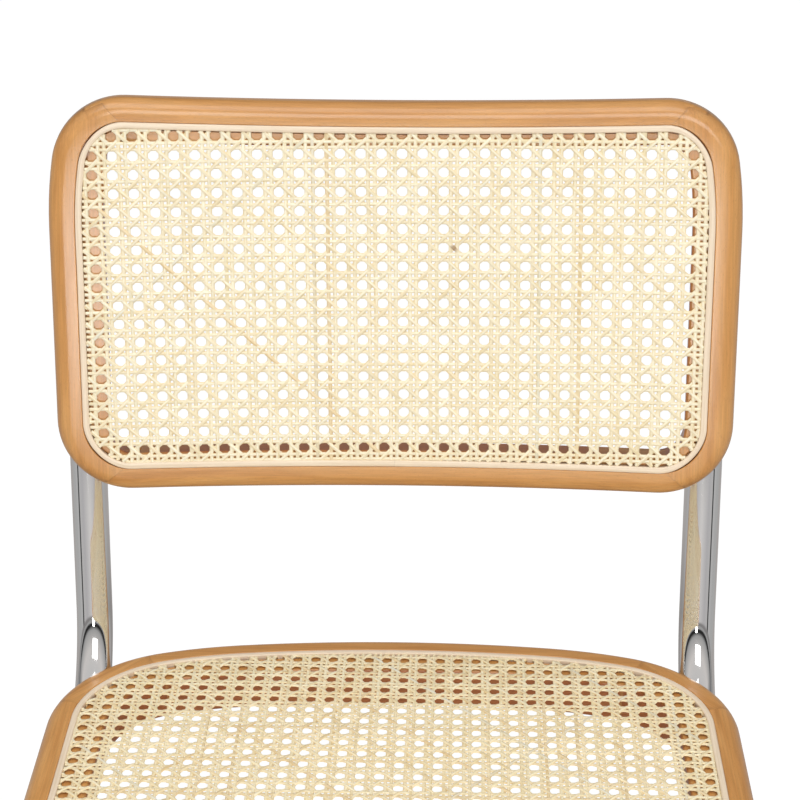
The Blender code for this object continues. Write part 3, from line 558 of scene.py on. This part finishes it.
class Panel:
    """A grooved rail frame: an outline, the widths round it, its curve and its place."""

    def __init__(self, outline, thickness, widths, middle, tilt, lacquer, curve=None):
        self.outline = outline
        self.thickness = thickness
        self.widths_at = widths
        self.lacquer = lacquer
        self.curve = curve
        self.place = Matrix.Translation(middle) @ Matrix.Rotation(math.radians(tilt), 4, "X")

    def widths(self, heading):
        """Rail width and border width, eased from the sides to the two ends."""
        left, right, near, far = self.widths_at
        side = right if math.sin(heading) > 0.0 else left
        ease = math.sin(heading) ** 2
        end = near if math.cos(heading) > 0.0 else far
        return [a * ease + b * (1.0 - ease) for a, b in zip(side, end)]

    def section(self, heading):
        """Rail section as distance in from the outer edge and height above the front face."""
        width, border = self.widths(heading)
        low = -self.thickness
        groove_end = border + GROOVE_WIDTH
        quarter = [math.radians(90.0) * step / ROUND_STEPS for step in range(ROUND_STEPS + 1)]
        points = [
            (FRONT_ROUND * (1.0 - math.cos(a)), FRONT_ROUND * (math.sin(a) - 1.0)) for a in quarter
        ]
        points += [(border - GROOVE_BEVEL, 0.0), (border, -GROOVE_BEVEL), (border, -GROOVE_DEPTH)]
        points += [(groove_end, -GROOVE_DEPTH), (groove_end, -FLANGE_RECESS)]
        points += [(width - INNER_BEVEL, -FLANGE_RECESS), (width, -FLANGE_RECESS - INNER_BEVEL)]
        points += [(width, low + INNER_BEVEL), (width - INNER_BEVEL, low)]
        points += [
            (REAR_ROUND * (1.0 - math.sin(a)), low + REAR_ROUND * (1.0 - math.cos(a)))
            for a in quarter
        ]
        return points

    def loft(self, section, distances):
        """Carry a section along the outline and cap both ends."""
        bm = bmesh.new()
        rings = []
        for distance in distances:
            point, heading = self.outline.at(distance)
            inward = Vector((-math.sin(heading), math.cos(heading)))
            places = [(point + inward * across, height) for across, height in section(heading)]
            rings.append([bm.verts.new((spot.x, spot.y, height)) for spot, height in places])
        for ring, after in zip(rings, rings[1:]):
            join_rings(bm, ring, after)
        bm.faces.new(rings[0])
        bm.faces.new(rings[-1][::-1])
        return bm

    def laid(self, mesh):
        """Bend a flat mesh on the panel's curve and set it in its place in the chair."""
        if self.curve:
            for vert in mesh.vertices:
                angle = vert.co.x / self.curve
                reach = self.curve - vert.co.z
                vert.co.x = reach * math.sin(angle)
                vert.co.z = self.curve - reach * math.cos(angle)
        mesh.transform(self.place)

    def flat_depth(self, place):
        """How far a point of the laid panel lies behind its front face."""
        if not self.curve:
            return -place.z
        return math.hypot(place.x, self.curve - place.z) - self.curve

    def finger_cutter(self, distance, tongue, forward, slant):
        """What a rail end loses at a finger joint of alternating layers.

        The tongue keeps every second layer, the fork the others. forward is true where the piece
        lies before the joint, going round the outline. slant turns the joint off the square.
        """
        half = FINGER_LENGTH / 2
        play = FINGER_PLAY
        way = 1.0 if forward else -1.0
        layer = self.thickness / FINGER_LAYERS
        shoulder = -half - play if tongue else half - play
        tip = half - play if tongue else -half - play
        steps = [(FINGER_LENGTH * 4, CUTTER_SPARE), (shoulder, CUTTER_SPARE)]
        for index in range(1, FINGER_LAYERS):
            edge = -layer * index
            into_middle = index % 2 == 1
            shift = play if into_middle != tongue else -play
            before, after = (shoulder, tip) if into_middle else (tip, shoulder)
            steps += [(before, edge + shift), (after, edge + shift)]
        below = -self.thickness - CUTTER_SPARE
        steps += [(shoulder, below), (FINGER_LENGTH * 4, below)]
        bm = bmesh.new()
        corners = [(way * along, height, -CUTTER_INWARD) for along, height in steps]
        face = bm.faces.new([bm.verts.new(corner) for corner in corners])
        pulled = bmesh.ops.extrude_face_region(bm, geom=[face])
        raised = [item for item in pulled["geom"] if isinstance(item, bmesh.types.BMVert)]
        bmesh.ops.translate(bm, verts=raised, vec=(0.0, 0.0, CUTTER_WIDTH))
        point, heading = self.outline.at(distance)
        heading += math.radians(slant)
        along = Vector((math.cos(heading), math.sin(heading), 0.0))
        outward = Vector((math.sin(heading), -math.cos(heading), 0.0))
        turn = Matrix((along, Vector((0.0, 0.0, 1.0)), outward)).transposed().to_4x4()
        set_at = Matrix.Translation((point.x, point.y, 0.0)) @ turn
        bmesh.ops.transform(bm, matrix=set_at, verts=bm.verts)
        return mesh_from(bm, "fingers")

    def rail(self, name, start, end, tongues, tone, side, slants=(0.0, 0.0)):
        """One wooden piece from one finger joint to the next, with its grain along its chord.

        side is -1 or 1 where the tube lies in the piece's rear on the left or right.
        """
        around = self.outline.length
        spare = FINGER_LENGTH / 2 + JOINT_SPARE
        first, last = start - spare, end + spare
        distances = self.outline.stations(max(first, 0.0), min(last, around))
        if first < 0.0:
            distances = self.outline.stations(around + first, around)[:-1] + distances
        flat = mesh_from(self.loft(self.section, distances), name)
        cutters = [self.finger_cutter(start % around, tongues, False, slants[0])]
        cutters.append(self.finger_cutter(end % around, tongues, True, slants[1]))
        mesh = cut(flat, cutters)
        chord = self.outline.at(end % around)[0] - self.outline.at(start % around)[0]
        along = chord.normalized()
        across = Vector((-along.y, along.x))
        self.laid(mesh)
        if side:
            mesh = cut(mesh, [tube_bed(side)])
        smooth(mesh)
        back = self.place.inverted()
        shift = Vector([random.uniform(0.0, 9.0) for axis in range(3)])
        turned_along = self.place.to_3x3() @ Vector((along.x, along.y, 0.0))
        places, cuts, painted_shade_faces = [], [], []
        for vert in mesh.vertices:
            flat_place = back @ vert.co
            here = flat_place.xy
            places += [here.dot(along) + shift.x, here.dot(across) + shift.y]
            places.append(flat_place.z + shift.z)
            cuts.append(min(abs(vert.normal.dot(turned_along)) ** 3, 1.0))
            # Faces deeper than the flange that look into the opening are marked for the painted
            # inner shade
            depth, inward = self.flat_depth(flat_place), back.to_3x3() @ vert.normal
            facing = -inward.xy.dot(here.normalized())
            painted_shade_faces.append(1.0 if depth > FLANGE_RECESS + 0.0005 and facing > 0.5 else 0.0)
        store(mesh, "grain", "FLOAT_VECTOR", places)
        store(mesh, "end_grain", "FLOAT", cuts)
        store(mesh, "inner_face", "FLOAT", painted_shade_faces)
        store(mesh, "lacquer", "FLOAT", [self.lacquer] * len(cuts))
        store(mesh, "tone", "FLOAT", [tone] * len(cuts))
        shown(name + "_wood", mesh, beech, "beech", name)


random.seed(7)
# Width and depth, then the bow in degrees and the corner's radii and end angles of front and rear
seat_outline = Outline(0.473, 0.452, 4.0, [(0.062, 90.0)], 7.0, [(0.300, 18.0), (0.099, 90.0)])
seat = Panel(seat_outline, SEAT_THICKNESS, SEAT_WIDTHS, SEAT_MIDDLE, -SEAT_TILT, SEAT_LACQUER)
front_end = seat_outline.where_heading(16.0)
side_start = seat_outline.where_heading(74.0)
side_end = seat_outline.where_heading(107.0)
rear_start = seat_outline.where_heading(151.0)
seat_round = seat_outline.length


for piece in (
    ("seat_front_rail", -front_end, front_end, True, 0.66, 0),
    ("seat_rear_rail", rear_start, seat_round - rear_start, True, 0.72, 0),
    ("seat_right_rail", side_start, side_end, True, 0.62, 1),
    ("seat_left_rail", seat_round - side_end, seat_round - side_start, True, 0.82, -1),
    ("seat_front_right_block", front_end, side_start, False, 0.58, 1),
    ("seat_rear_right_block", side_end, rear_start, False, 0.55, 1),
    ("seat_rear_left_block", seat_round - rear_start, seat_round - side_end, False, 0.75, -1),
    ("seat_front_left_block", seat_round - side_start, seat_round - front_end, False, 0.72, -1),
):
    seat.rail(*piece)


# Cane of the seat: strands split from rattan, woven by machine in pairs both ways with a diagonal
# each way between them, wetted and pressed into the frame's groove with a reed.
WIDE_PITCH, WIDE_STRAND, WIDE_SPACING = 0.0136, 0.0026, 0.0042
NARROW_PITCH, NARROW_STRAND, NARROW_SPACING = 0.0127, 0.0023, 0.0039
DIAGONAL_STRAND = 0.0025
STRAND_THICKNESS = 0.0008
# Corners of a strand's section, in half widths across and thicknesses up
STRAND_SECTION = ((-1.0, -0.35), (-0.75, 0.30), (0.0, 0.5), (0.75, 0.30), (1.0, -0.35))
CROSSING_STEPS = 8
DIAGONAL_STEPS = 10
STRAND_SWAY = 0.00012
SWAY_RATE = 70.0
WEAVE_RISE = 0.00045
CANE_DROP = 0.0011
LIP_DEPTH = 0.0052
# How far past its end a strand goes as it turns down into the groove, and its height there
TURNED_DOWN = ((0.0003, -0.0014), (0.0004, CANE_DROP - LIP_DEPTH))
SPLINE_WIDTH = 0.0042
RIM_GAP = 0.0006
RIM_EASE = 0.006
STRAW = (0.95, 0.865, 0.66)
WARM_STRAW = (0.95, 0.84, 0.59)
GREY = (0.83, 0.77, 0.61)
TAN = (0.86, 0.71, 0.46)
SCAR = (0.28, 0.13, 0.04)
SCAR_REACH = 0.27

cane, tree, shader = new_material("natural cane", (0.86, 0.76, 0.53), 0.5)
along_strand = stored(tree, "strand", "Vector")
long_streaks = add_streaks(tree, along_strand, 25.0, 700.0, 0.2)
mottle = add_streaks(tree, along_strand, 90.0, 260.0, 0.6)
light = ramp(tree, long_streaks, (0.32, (0.89, 0.82, 0.66)), (0.58, (1.03, 1.04, 1.06)))
colour = mixed(tree, 1.0, stored(tree, "tint", "Color"), light, "MULTIPLY")
# The tint's alpha is how far a point lies from the middle of its strand
edge = ranged(tree, stored(tree, "tint", "Alpha"), 0.45, 1.0, 0.0, 0.6)
# Painted shade: strand edges are darkened to a warm tan, for the shade where strands overlap
painted_shade = mixed(tree, 1.0, colour, (0.96, 0.84, 0.62), "MULTIPLY")
colour = mixed(tree, edge, colour, painted_shade)
colour = mixed(tree, ranged(tree, mottle, 0.60, 0.78, 0.0, 0.22), colour, (0.62, 0.45, 0.24))
tree.links.new(colour, shader.inputs["Base Color"])
add_bump(tree, shader, long_streaks, 0.25, 0.0002)
tree.links.new(ranged(tree, long_streaks, 0.0, 1.0, 0.40, 0.62), shader.inputs["Roughness"])


def crossing_wave(offset, reach):
    """Height of one strand of a pair, over one strand of the crossing pair and under the other."""
    offset = (offset + 0.5) % 1.0 - 0.5
    return math.sin(math.pi * offset / (2.0 * reach)) if abs(offset) < 2.0 * reach else 0.0


def diagonal_wave(a):
    """Height of a diagonal strand: 1 at the uprights and -1 halfway between them."""
    return math.sin(math.pi / 2 * min(max(1.5 * math.cos(math.tau * a), -1.0), 1.0))


class Net:
    """The lattice of a woven panel, set by the place of one hole; skew is its slight turn.

    A place in it is a and b: pitches across from a pair of uprights and up from a pair of rungs.
    """

    def __init__(self, wide_across, hole_column, hole_row, skew):
        wide = (WIDE_PITCH, WIDE_STRAND, WIDE_SPACING)
        narrow = (NARROW_PITCH, NARROW_STRAND, NARROW_SPACING)
        across, upward = (wide, narrow) if wide_across else (narrow, wide)
        self.pitch_x, self.width_x, self.space_x = across
        self.pitch_y, self.width_y, self.space_y = upward
        self.zero_x = hole_column - self.pitch_x / 2
        self.zero_y = hole_row - self.pitch_y / 2
        self.turn = Matrix.Rotation(math.radians(skew), 2)

    def families(self, reach_x, reach_y):
        """Each family's strands as origin, direction, width, step, number and side."""
        count_x = math.ceil(reach_x / self.pitch_x) + 1
        count_y = math.ceil(reach_y / self.pitch_y) + 1
        uprights, rungs = [], []
        for k in range(-count_x, count_x + 1):
            for side in (-1, 1):
                origin = Vector((self.zero_x + k * self.pitch_x + side * self.space_x / 2, 0.0))
                step = self.pitch_y / CROSSING_STEPS
                uprights.append((origin, Vector((0.0, 1.0)), self.width_x, step, k, side))
        for k in range(-count_y, count_y + 1):
            for side in (-1, 1):
                origin = Vector((0.0, self.zero_y + k * self.pitch_y + side * self.space_y / 2))
                step = self.pitch_x / CROSSING_STEPS
                rungs.append((origin, Vector((1.0, 0.0)), self.width_y, step, k, side))
        found = {"uprights": uprights, "rungs": rungs, "rising": [], "falling": []}
        step = math.hypot(self.pitch_x, self.pitch_y) / DIAGONAL_STEPS
        for k in range(-count_x - count_y, count_x + count_y + 1):
            origin = Vector((self.zero_x + (k + 0.5) * self.pitch_x, self.zero_y))
            for label, slope, side in (("rising", 1.0, -1), ("falling", -1.0, 1)):
                way = Vector((self.pitch_x, slope * self.pitch_y)).normalized()
                found[label].append((origin, way, DIAGONAL_STRAND, step, k, side))
        return found

    def place(self, spot):
        """A point of the panel as a and b."""
        square = spot @ self.turn
        a = (square.x - self.zero_x) / self.pitch_x
        b = (square.y - self.zero_y) / self.pitch_y
        return a, b

    def level(self, label, side, a, b):
        """Height of a strand of a family at a place in the net, from -1 to 1."""
        if label == "uprights":
            return 0.5 * side * crossing_wave(b, self.space_y / self.pitch_y / 2)
        if label == "rungs":
            return -0.5 * side * crossing_wave(a, self.space_x / self.pitch_x / 2)
        return side * diagonal_wave(a)


def cane_rim(panel):
    """The line round a panel where its strands turn down, just inside the spline."""
    rim = []
    for distance in panel.outline.stations()[:-1]:
        point, heading = panel.outline.at(distance)
        inward = Vector((-math.sin(heading), math.cos(heading)))
        rim.append(point + inward * (panel.widths(heading)[1] + SPLINE_WIDTH + RIM_GAP))
    return rim


def chord_through(rim, origin, way):
    """Where a line in the panel enters and leaves the rim, as distances from its origin."""
    hits = []
    for here, after in zip(rim, rim[1:] + rim[:1]):
        span = after - here
        over = way.x * span.y - way.y * span.x
        if abs(over) < 1e-12:
            continue
        gap = here - origin
        share = (gap.x * way.y - gap.y * way.x) / over
        if 0.0 <= share < 1.0:
            hits.append((gap.x * span.y - gap.y * span.x) / over)
    return (min(hits), max(hits)) if len(hits) > 1 else None


def strand_faces(first, rings):
    """Faces of a strand whose rings of corners start at vertex first, both its ends closed."""
    corners = len(STRAND_SECTION)
    faces = []
    for base in range(first, first + (rings - 1) * corners, corners):
        for index in range(corners):
            here, after = base + index, base + (index + 1) % corners
            faces.append((here, after, after + corners, here + corners))
    last = first + (rings - 1) * corners
    faces.append(tuple(range(first + corners - 1, first - 1, -1)))
    faces.append(tuple(range(last, last + corners)))
    return faces


def weave(panel, name, net, tints, scarred=None):
    """The four families of strands of a panel, each as one piece.

    tints gives a strand's colour, and scarred is the place of a dark mark on a falling strand.
    """
    rim = cane_rim(panel)
    reach_x = max(point.x for point in rim)
    reach_y = max(abs(point.y) for point in rim)
    for label, strands in net.families(reach_x, reach_y).items():
        verts, faces, coords, shades = [], [], [], []
        for origin, way, width, step, k, side in strands:
            origin, way = net.turn @ origin, net.turn @ way
            found = chord_through(rim, origin, way)
            if not found or found[1] - found[0] < width:
                continue
            across = Vector((-way.y, way.x))
            seed = random.uniform(0.0, 50.0)
            drift = random.uniform(-STRAND_SWAY, STRAND_SWAY)
            phase = random.uniform(0.0, math.tau)
            shade = tints(label, k, side)
            half = width / 2 * random.uniform(0.94, 1.04)
            start, end = found
            steps = max(round((end - start) / step), 2)
            stops = [(start - past, drop) for past, drop in TURNED_DOWN[::-1]]
            stops += [(start + (end - start) * index / steps, None) for index in range(steps + 1)]
            stops += [(end + past, drop) for past, drop in TURNED_DOWN]
            faces += strand_faces(len(verts), len(stops))
            for distance, drop in stops:
                ease = min(max((distance - start) / RIM_EASE, 0.0), 1.0)
                ease *= min(max((end - distance) / RIM_EASE, 0.0), 1.0)
                sway = (drift + STRAND_SWAY * math.sin(distance * SWAY_RATE + phase)) * ease
                spot = origin + way * distance + across * sway
                a, b = net.place(spot)
                lift = drop
                if drop is None:
                    lift = net.level(label, side, a, b) * WEAVE_RISE * (0.35 + 0.65 * ease)
                burnt = 0.0
                if scarred and label == "falling":
                    off = math.hypot(a - scarred[0], b - scarred[1])
                    burnt = max(0.0, 1.0 - off / SCAR_REACH)
                here = [own * (1.0 - burnt) + dark * burnt for own, dark in zip(shade, SCAR)]
                for aside, raised in STRAND_SECTION:
                    corner = spot + across * (aside * half)
                    verts.append((corner.x, corner.y, lift + raised * STRAND_THICKNESS - CANE_DROP))
                    coords += [distance + seed, aside * half + seed, raised * STRAND_THICKNESS]
                    shades += [*here, abs(aside)]
        mesh = bpy.data.meshes.new(name)
        mesh.from_pydata(verts, [], faces)
        panel.laid(mesh)
        store(mesh, "strand", "FLOAT_VECTOR", coords)
        store(mesh, "tint", "FLOAT_COLOR", shades)
        smooth(mesh, 60.0)
        shown(f"{name}_{label}", mesh, cane, "cane", name)


def varied(base, spread):
    """A colour with a slight chance change in lightness and warmth."""
    level = 1.0 + random.uniform(-spread, spread)
    warmth = random.uniform(-spread, spread) * 0.5
    red, green, blue = base
    return red * level, green * (level - warmth), blue * (level - 2.0 * warmth)


def seat_tints(*strand):
    """Warm straw for most of the seat's strands, tan or grey for a few by chance."""
    chance = random.random()
    base = GREY if chance < 0.015 else TAN if chance < 0.09 else WARM_STRAW
    return varied(base, 0.05)


weave(seat, "seat_cane", Net(False, 0.0056, 0.0042, -0.4), seat_tints)


# Reed splines: a strip of rattan core hammered into each groove over the cane's edge and glued.
# The strip closes on itself with a plain butt joint at the middle of the near rail.
SPLINE_CROWN = 0.0006
SPLINE_SINK = 0.0003
SPLINE_DEPTH = 0.0054
SPLINE_BUTT = 0.00006
SPLINE_CHAMFER = 0.0004
SPLINE_SHOULDER = 0.0007
CROWN_STEPS = 6
FIBRE_STEP = 0.0006

reed, tree, shader = new_material("rattan reed", (0.86, 0.70, 0.52), 0.5)
lines = add_streaks(tree, stored(tree, "strand", "Vector"), 18.0, 1500.0, 0.1)
colour = ramp(tree, lines, (0.3, (0.80, 0.64, 0.46)), (0.6, (0.91, 0.76, 0.58)))
tree.links.new(colour, shader.inputs["Base Color"])
add_bump(tree, shader, lines, 0.3, 0.0002)


def spline(panel, name, shrink):
    """The strip in the groove; it leaves a dark line by the wood where the corners are tight."""
    outline = panel.outline

    def section(heading):
        near = panel.widths(heading)[1] + GAP / 2 + shrink * math.sin(2.0 * heading) ** 2
        far = panel.widths(heading)[1] + GAP + SPLINE_WIDTH
        half = (far - near) / 2
        points = [(near + SPLINE_CHAMFER, -SPLINE_DEPTH), (near, -SPLINE_SHOULDER)]
        for step in range(CROWN_STEPS + 1):
            turn = math.radians(180.0) * (1.0 - step / CROWN_STEPS)
            across = near + half + half * math.cos(turn) * 0.98
            points.append((across, SPLINE_CROWN * math.sin(turn) - SPLINE_SINK))
        return points + [(far, -SPLINE_SHOULDER), (far - SPLINE_CHAMFER, -SPLINE_DEPTH)]

    distances = outline.stations(SPLINE_BUTT, outline.length - SPLINE_BUTT)
    mesh = mesh_from(panel.loft(section, distances), name)
    count = len(mesh.vertices) // len(distances)
    coords = []
    for distance in distances:
        for index in range(count):
            coords += [distance, index * FIBRE_STEP, 0.0]
    panel.laid(mesh)
    store(mesh, "strand", "FLOAT_VECTOR", coords)
    smooth(mesh, 50.0)
    shown(name + "_reed", mesh, reed, "reed", name)


spline(seat, "seat_spline", 0.0001)


# Back frame: two stiles and two rails of the same beech, moulded alike and bowed to a shallow
# curve, with slanted finger joints at the four corners. The panel leans back on the uprights.
BACK_MIDDLE = Vector((0.0, 0.1876, 0.7079))
BACK_RECLINE = 9.5
BACK_CURVE = 2.41
BACK_THICKNESS = 0.024
BACK_WIDTHS = ((0.036, 0.0176), (0.0325, 0.0176), (0.0268, 0.0163), (0.029, 0.0150))
BACK_LACQUER = 0.7
SLANT = 18.0
# The back's strands that aren't straw coloured, by family, number and side
ODD_STRANDS = {
    ("uprights", -4, 1): GREY, ("uprights", 7, 1): GREY, ("rising", -14, -1): GREY,
    ("uprights", -3, -1): TAN, ("uprights", 9, 1): TAN, ("falling", -9, 1): TAN,
}

back_outline = Outline(
    0.458, 0.266, -0.8, [(0.050, 90.0)], -2.3, [(0.048, 81.0), (0.300, 90.0)], BACK_CURVE
)
back = Panel(
    back_outline, BACK_THICKNESS, BACK_WIDTHS, BACK_MIDDLE, 90.0 - BACK_RECLINE, BACK_LACQUER,
    BACK_CURVE,
)
lower = back_outline.where_heading(32.0)
upper = back_outline.where_heading(155.0)
back_round = back_outline.length
for piece in (
    ("back_bottom_rail", -lower, lower, True, 0.52, 0, (-SLANT, SLANT)),
    ("back_top_rail", upper, back_round - upper, True, 0.50, 0, (-SLANT, SLANT)),
    ("back_right_stile", lower, upper, False, 0.62, 1, (SLANT, -SLANT)),
    ("back_left_stile", back_round - upper, back_round - lower, False, 0.62, -1, (SLANT, -SLANT)),
):
    back.rail(*piece)


def back_tints(*strand):
    """Straw for the back's strands, but for the few odd ones."""
    return varied(ODD_STRANDS.get(strand, STRAW), 0.04)


weave(back, "back_cane", Net(True, 0.0056, -0.0014, 0.5), back_tints, (3.0, 3.5))
spline(back, "back_spline", 0.0008)


# Screws: zinc plated button heads with a hexagon socket, two through each upright into a stile
# and two up through each seat run into a side rail.
SCREW_HEAD_RADIUS = 0.0048
SCREW_HEAD_HEIGHT = 0.0032
SCREW_LENGTH = 0.038
SCREW_TIP = 0.005
SHANK_RADIUS = 0.0025
SOCKET_RADIUS = 0.0019
# Radius and height, from above the head down into it
KEY_PROFILE = ((0.0, 0.004), (SOCKET_RADIUS, 0.004), (SOCKET_RADIUS, 0.0012), (0.0, 0.0009))

zinc, tree, shader = new_material("zinc plated steel", (0.60, 0.60, 0.59), 0.28, 1.0)
add_handling(tree, shader, 300.0, 0.20, 0.36, 0.00003)
head = [(0.0, SCREW_HEAD_HEIGHT)]
head += [
    (SCREW_HEAD_RADIUS * math.sin(a), SCREW_HEAD_HEIGHT * (0.3 + 0.7 * math.cos(a) ** 0.8))
    for a in (math.radians(90.0) * step / DOME_STEPS for step in range(3, DOME_STEPS))
]
head += [(SCREW_HEAD_RADIUS, SCREW_HEAD_HEIGHT * 0.3), (SCREW_HEAD_RADIUS, 0.0)]
head += [(SHANK_RADIUS, 0.0), (SHANK_RADIUS, SCREW_TIP - SCREW_LENGTH), (0.0, -SCREW_LENGTH)]
to_sitter = Vector((0.0, -0.98629, 0.16505))
seat_up = Vector((0.0, 0.05059, 0.99872))
for label, y, z, way in (
    ("back_screw_upper", 0.22405, 0.76466, to_sitter),
    ("back_screw_lower", 0.20358, 0.64236, to_sitter),
    ("seat_screw_rear", 0.06554, 0.40435, seat_up),
    ("seat_screw_front", -0.13108, 0.41431, seat_up),
):
    for side_name, x in SIDES:
        place = Vector((x, y, z)) - way * (TUBE_RADIUS + GAP)
        body = turned("screw", head, place, -way, 32)
        body = cut(body, [turned("key", KEY_PROFILE, place, -way, 6)])
        smooth(body)
        shown(f"{label}_{side_name}_steel", body, zinc, "zinc", f"{label}_{side_name}")


# Studio: a pale seamless floor that fades into white, a soft light overhead, a stronger one in
# front and a weak low one. The camera looks down on the back from in front.
WHITE = (1.0, 1.0, 1.0, 1.0)
FLOOR_REACH = 9.0
SHEET_MIDDLE = 0.18
CAMERA_PLACE = (0.0345, -1.211, 1.3395)
CAMERA_LENS = 103.166
SENSOR_WIDTH = 36.0
# Degrees: the camera's bearing, its pitch up from straight down, and its roll
CAMERA_TURNS = ((1.27, "Z"), (63.25, "X"), (-0.09, "Z"))

floor_skin, tree, shader = new_material("studio paper", (0.60, 0.60, 0.60), 0.9)
paper = node(tree, "TexNoise", {"Scale": 300.0, "Detail": 3.0})
add_bump(tree, shader, paper.outputs["Fac"], 0.05, 0.0005)
rays = node(tree, "LightPath")
# Seen directly, the paper fades into white and keeps the chair's shadow
glow = node(tree, "Emission", {"Color": WHITE, "Strength": 1.42})
share = maths(tree, "MULTIPLY", rays.outputs["Is Camera Ray"], 0.62)
blend = node(tree, "MixShader", {0: share, 1: shader.outputs["BSDF"], 2: glow.outputs["Emission"]})
# Mirrored in the chrome, the paper is a painted reflection that glows: it ends at both sides and
# behind on a darker studio floor, with a dark line where the paper ends
place = node(tree, "TexCoord").outputs["Object"]
spot = node(tree, "SeparateXYZ", {"Vector": place})
outward = maths(tree, "SUBTRACT", maths(tree, "ABSOLUTE", spot.outputs["X"]), TUBE_X)
forward = maths(tree, "SUBTRACT", SHEET_MIDDLE, spot.outputs["Y"])
bearing = ranged(tree, maths(tree, "ARCTAN2", outward, forward), 0.0, math.pi)
sheet = ramp(
    tree, bearing,
    (0.0, (0.74, 0.72, 0.71)), (0.20, (0.52, 0.51, 0.52)), (0.325, (0.56, 0.55, 0.55)),
    (0.335, 0.03), (0.365, 0.04), (0.385, 0.55), (0.50, 0.48),
)
mirrored = mixed(tree, ranged(tree, spot.outputs["Y"], 0.5, 0.8), sheet, (0.46, 0.44, 0.43))
away = node(tree, "VectorMath", {0: place}, operation="LENGTH").outputs["Value"]
mirrored = mixed(tree, ranged(tree, away, 3.2, 5.0), mirrored, (0.28, 0.27, 0.27))
# Painted shadow: round the chair the mirrored floor is darkened, as the chair's own shadow
under = ranged(tree, away, 0.5, 1.1, 0.85, 0.0)
mirrored = mixed(tree, under, mirrored, (0.04, 0.035, 0.03))
painted_reflection = node(tree, "Emission", {"Color": mirrored})
blend = node(tree, "MixShader", {
    0: rays.outputs["Is Glossy Ray"], 1: blend.outputs["Shader"], 2: painted_reflection.outputs["Emission"],
})
tree.links.new(blend.outputs["Shader"], tree.nodes["Material Output"].inputs["Surface"])
floor_mesh = bpy.data.meshes.new("floor")
corners = [(x * FLOOR_REACH, y * FLOOR_REACH, 0.0) for x, y in ((-1, -1), (1, -1), (1, 1), (-1, 1))]
floor_mesh.from_pydata(corners, [], [(0, 1, 2, 3)])
floor_mesh.materials.append(floor_skin)
floor = bpy.data.objects.new("floor", floor_mesh)
scene.collection.objects.link(floor)

world = bpy.data.worlds.new("studio")
world.use_nodes = True
scene.world = world
tree = world.node_tree
sky = tree.nodes["Background"]
rays = node(tree, "LightPath")
way = node(tree, "SeparateXYZ", {"Vector": node(tree, "TexCoord").outputs["Generated"]})
# The studio as the chrome mirrors it: a dark band above the horizon, then walls and a pale ceiling
front_walls = ramp(
    tree, way.outputs["Z"], (0.0, 0.40), (0.02, 0.03), (0.07, 0.02), (0.14, 0.40),
    (0.45, (0.72, 0.69, 0.67)), (0.95, 0.62),
)
rear_walls = ramp(
    tree, way.outputs["Z"], (0.0, 0.40), (0.10, 0.20), (0.45, 0.06), (0.80, 0.15), (1.0, 0.62)
)
walls = mixed(tree, ranged(tree, way.outputs["Y"], -0.1, 0.3), front_walls, rear_walls)
lit = ramp(tree, way.outputs["Z"], (0.0, 0.34), (0.5, 0.50), (1.0, 0.60))
shade = mixed(tree, rays.outputs["Is Glossy Ray"], lit, walls)
clear = maths(tree, "MAXIMUM", rays.outputs["Is Camera Ray"], rays.outputs["Is Transmission Ray"])
tree.links.new(mixed(tree, clear, shade, WHITE[:3]), sky.inputs["Color"])


def area_light(name, place, target, size, power):
    """A rectangular lamp at a place, turned to a target."""
    lamp = bpy.data.lights.new(name, "AREA")
    lamp.shape = "RECTANGLE"
    lamp.size, lamp.size_y = size
    lamp.energy = power
    made = bpy.data.objects.new(name, lamp)
    scene.collection.objects.link(made)
    made.location = place
    made.rotation_euler = (Vector(target) - Vector(place)).to_track_quat("-Z", "Y").to_euler()


area_light("top", (-0.2, -0.6, 2.7), (0.0, 0.0, 0.5), (1.8, 1.2), 16.0)
area_light("front", (0.4, -2.7, 2.0), (0.0, 0.1, 0.6), (1.8, 1.2), 32.0)
area_light("low", (-0.18, -3.0, 0.46), (-0.15, 0.19, 0.7), (0.62, 0.48), 10.5)

camera = bpy.data.objects.new("camera", bpy.data.cameras.new("camera"))
scene.collection.objects.link(camera)
camera.data.lens = CAMERA_LENS
camera.data.sensor_width = SENSOR_WIDTH
turn = Matrix.Identity(4)
for degrees, axis in CAMERA_TURNS:
    turn = turn @ Matrix.Rotation(math.radians(degrees), 4, axis)
camera.matrix_world = Matrix.Translation(CAMERA_PLACE) @ turn
scene.camera = camera
scene.view_settings.view_transform = "Standard"
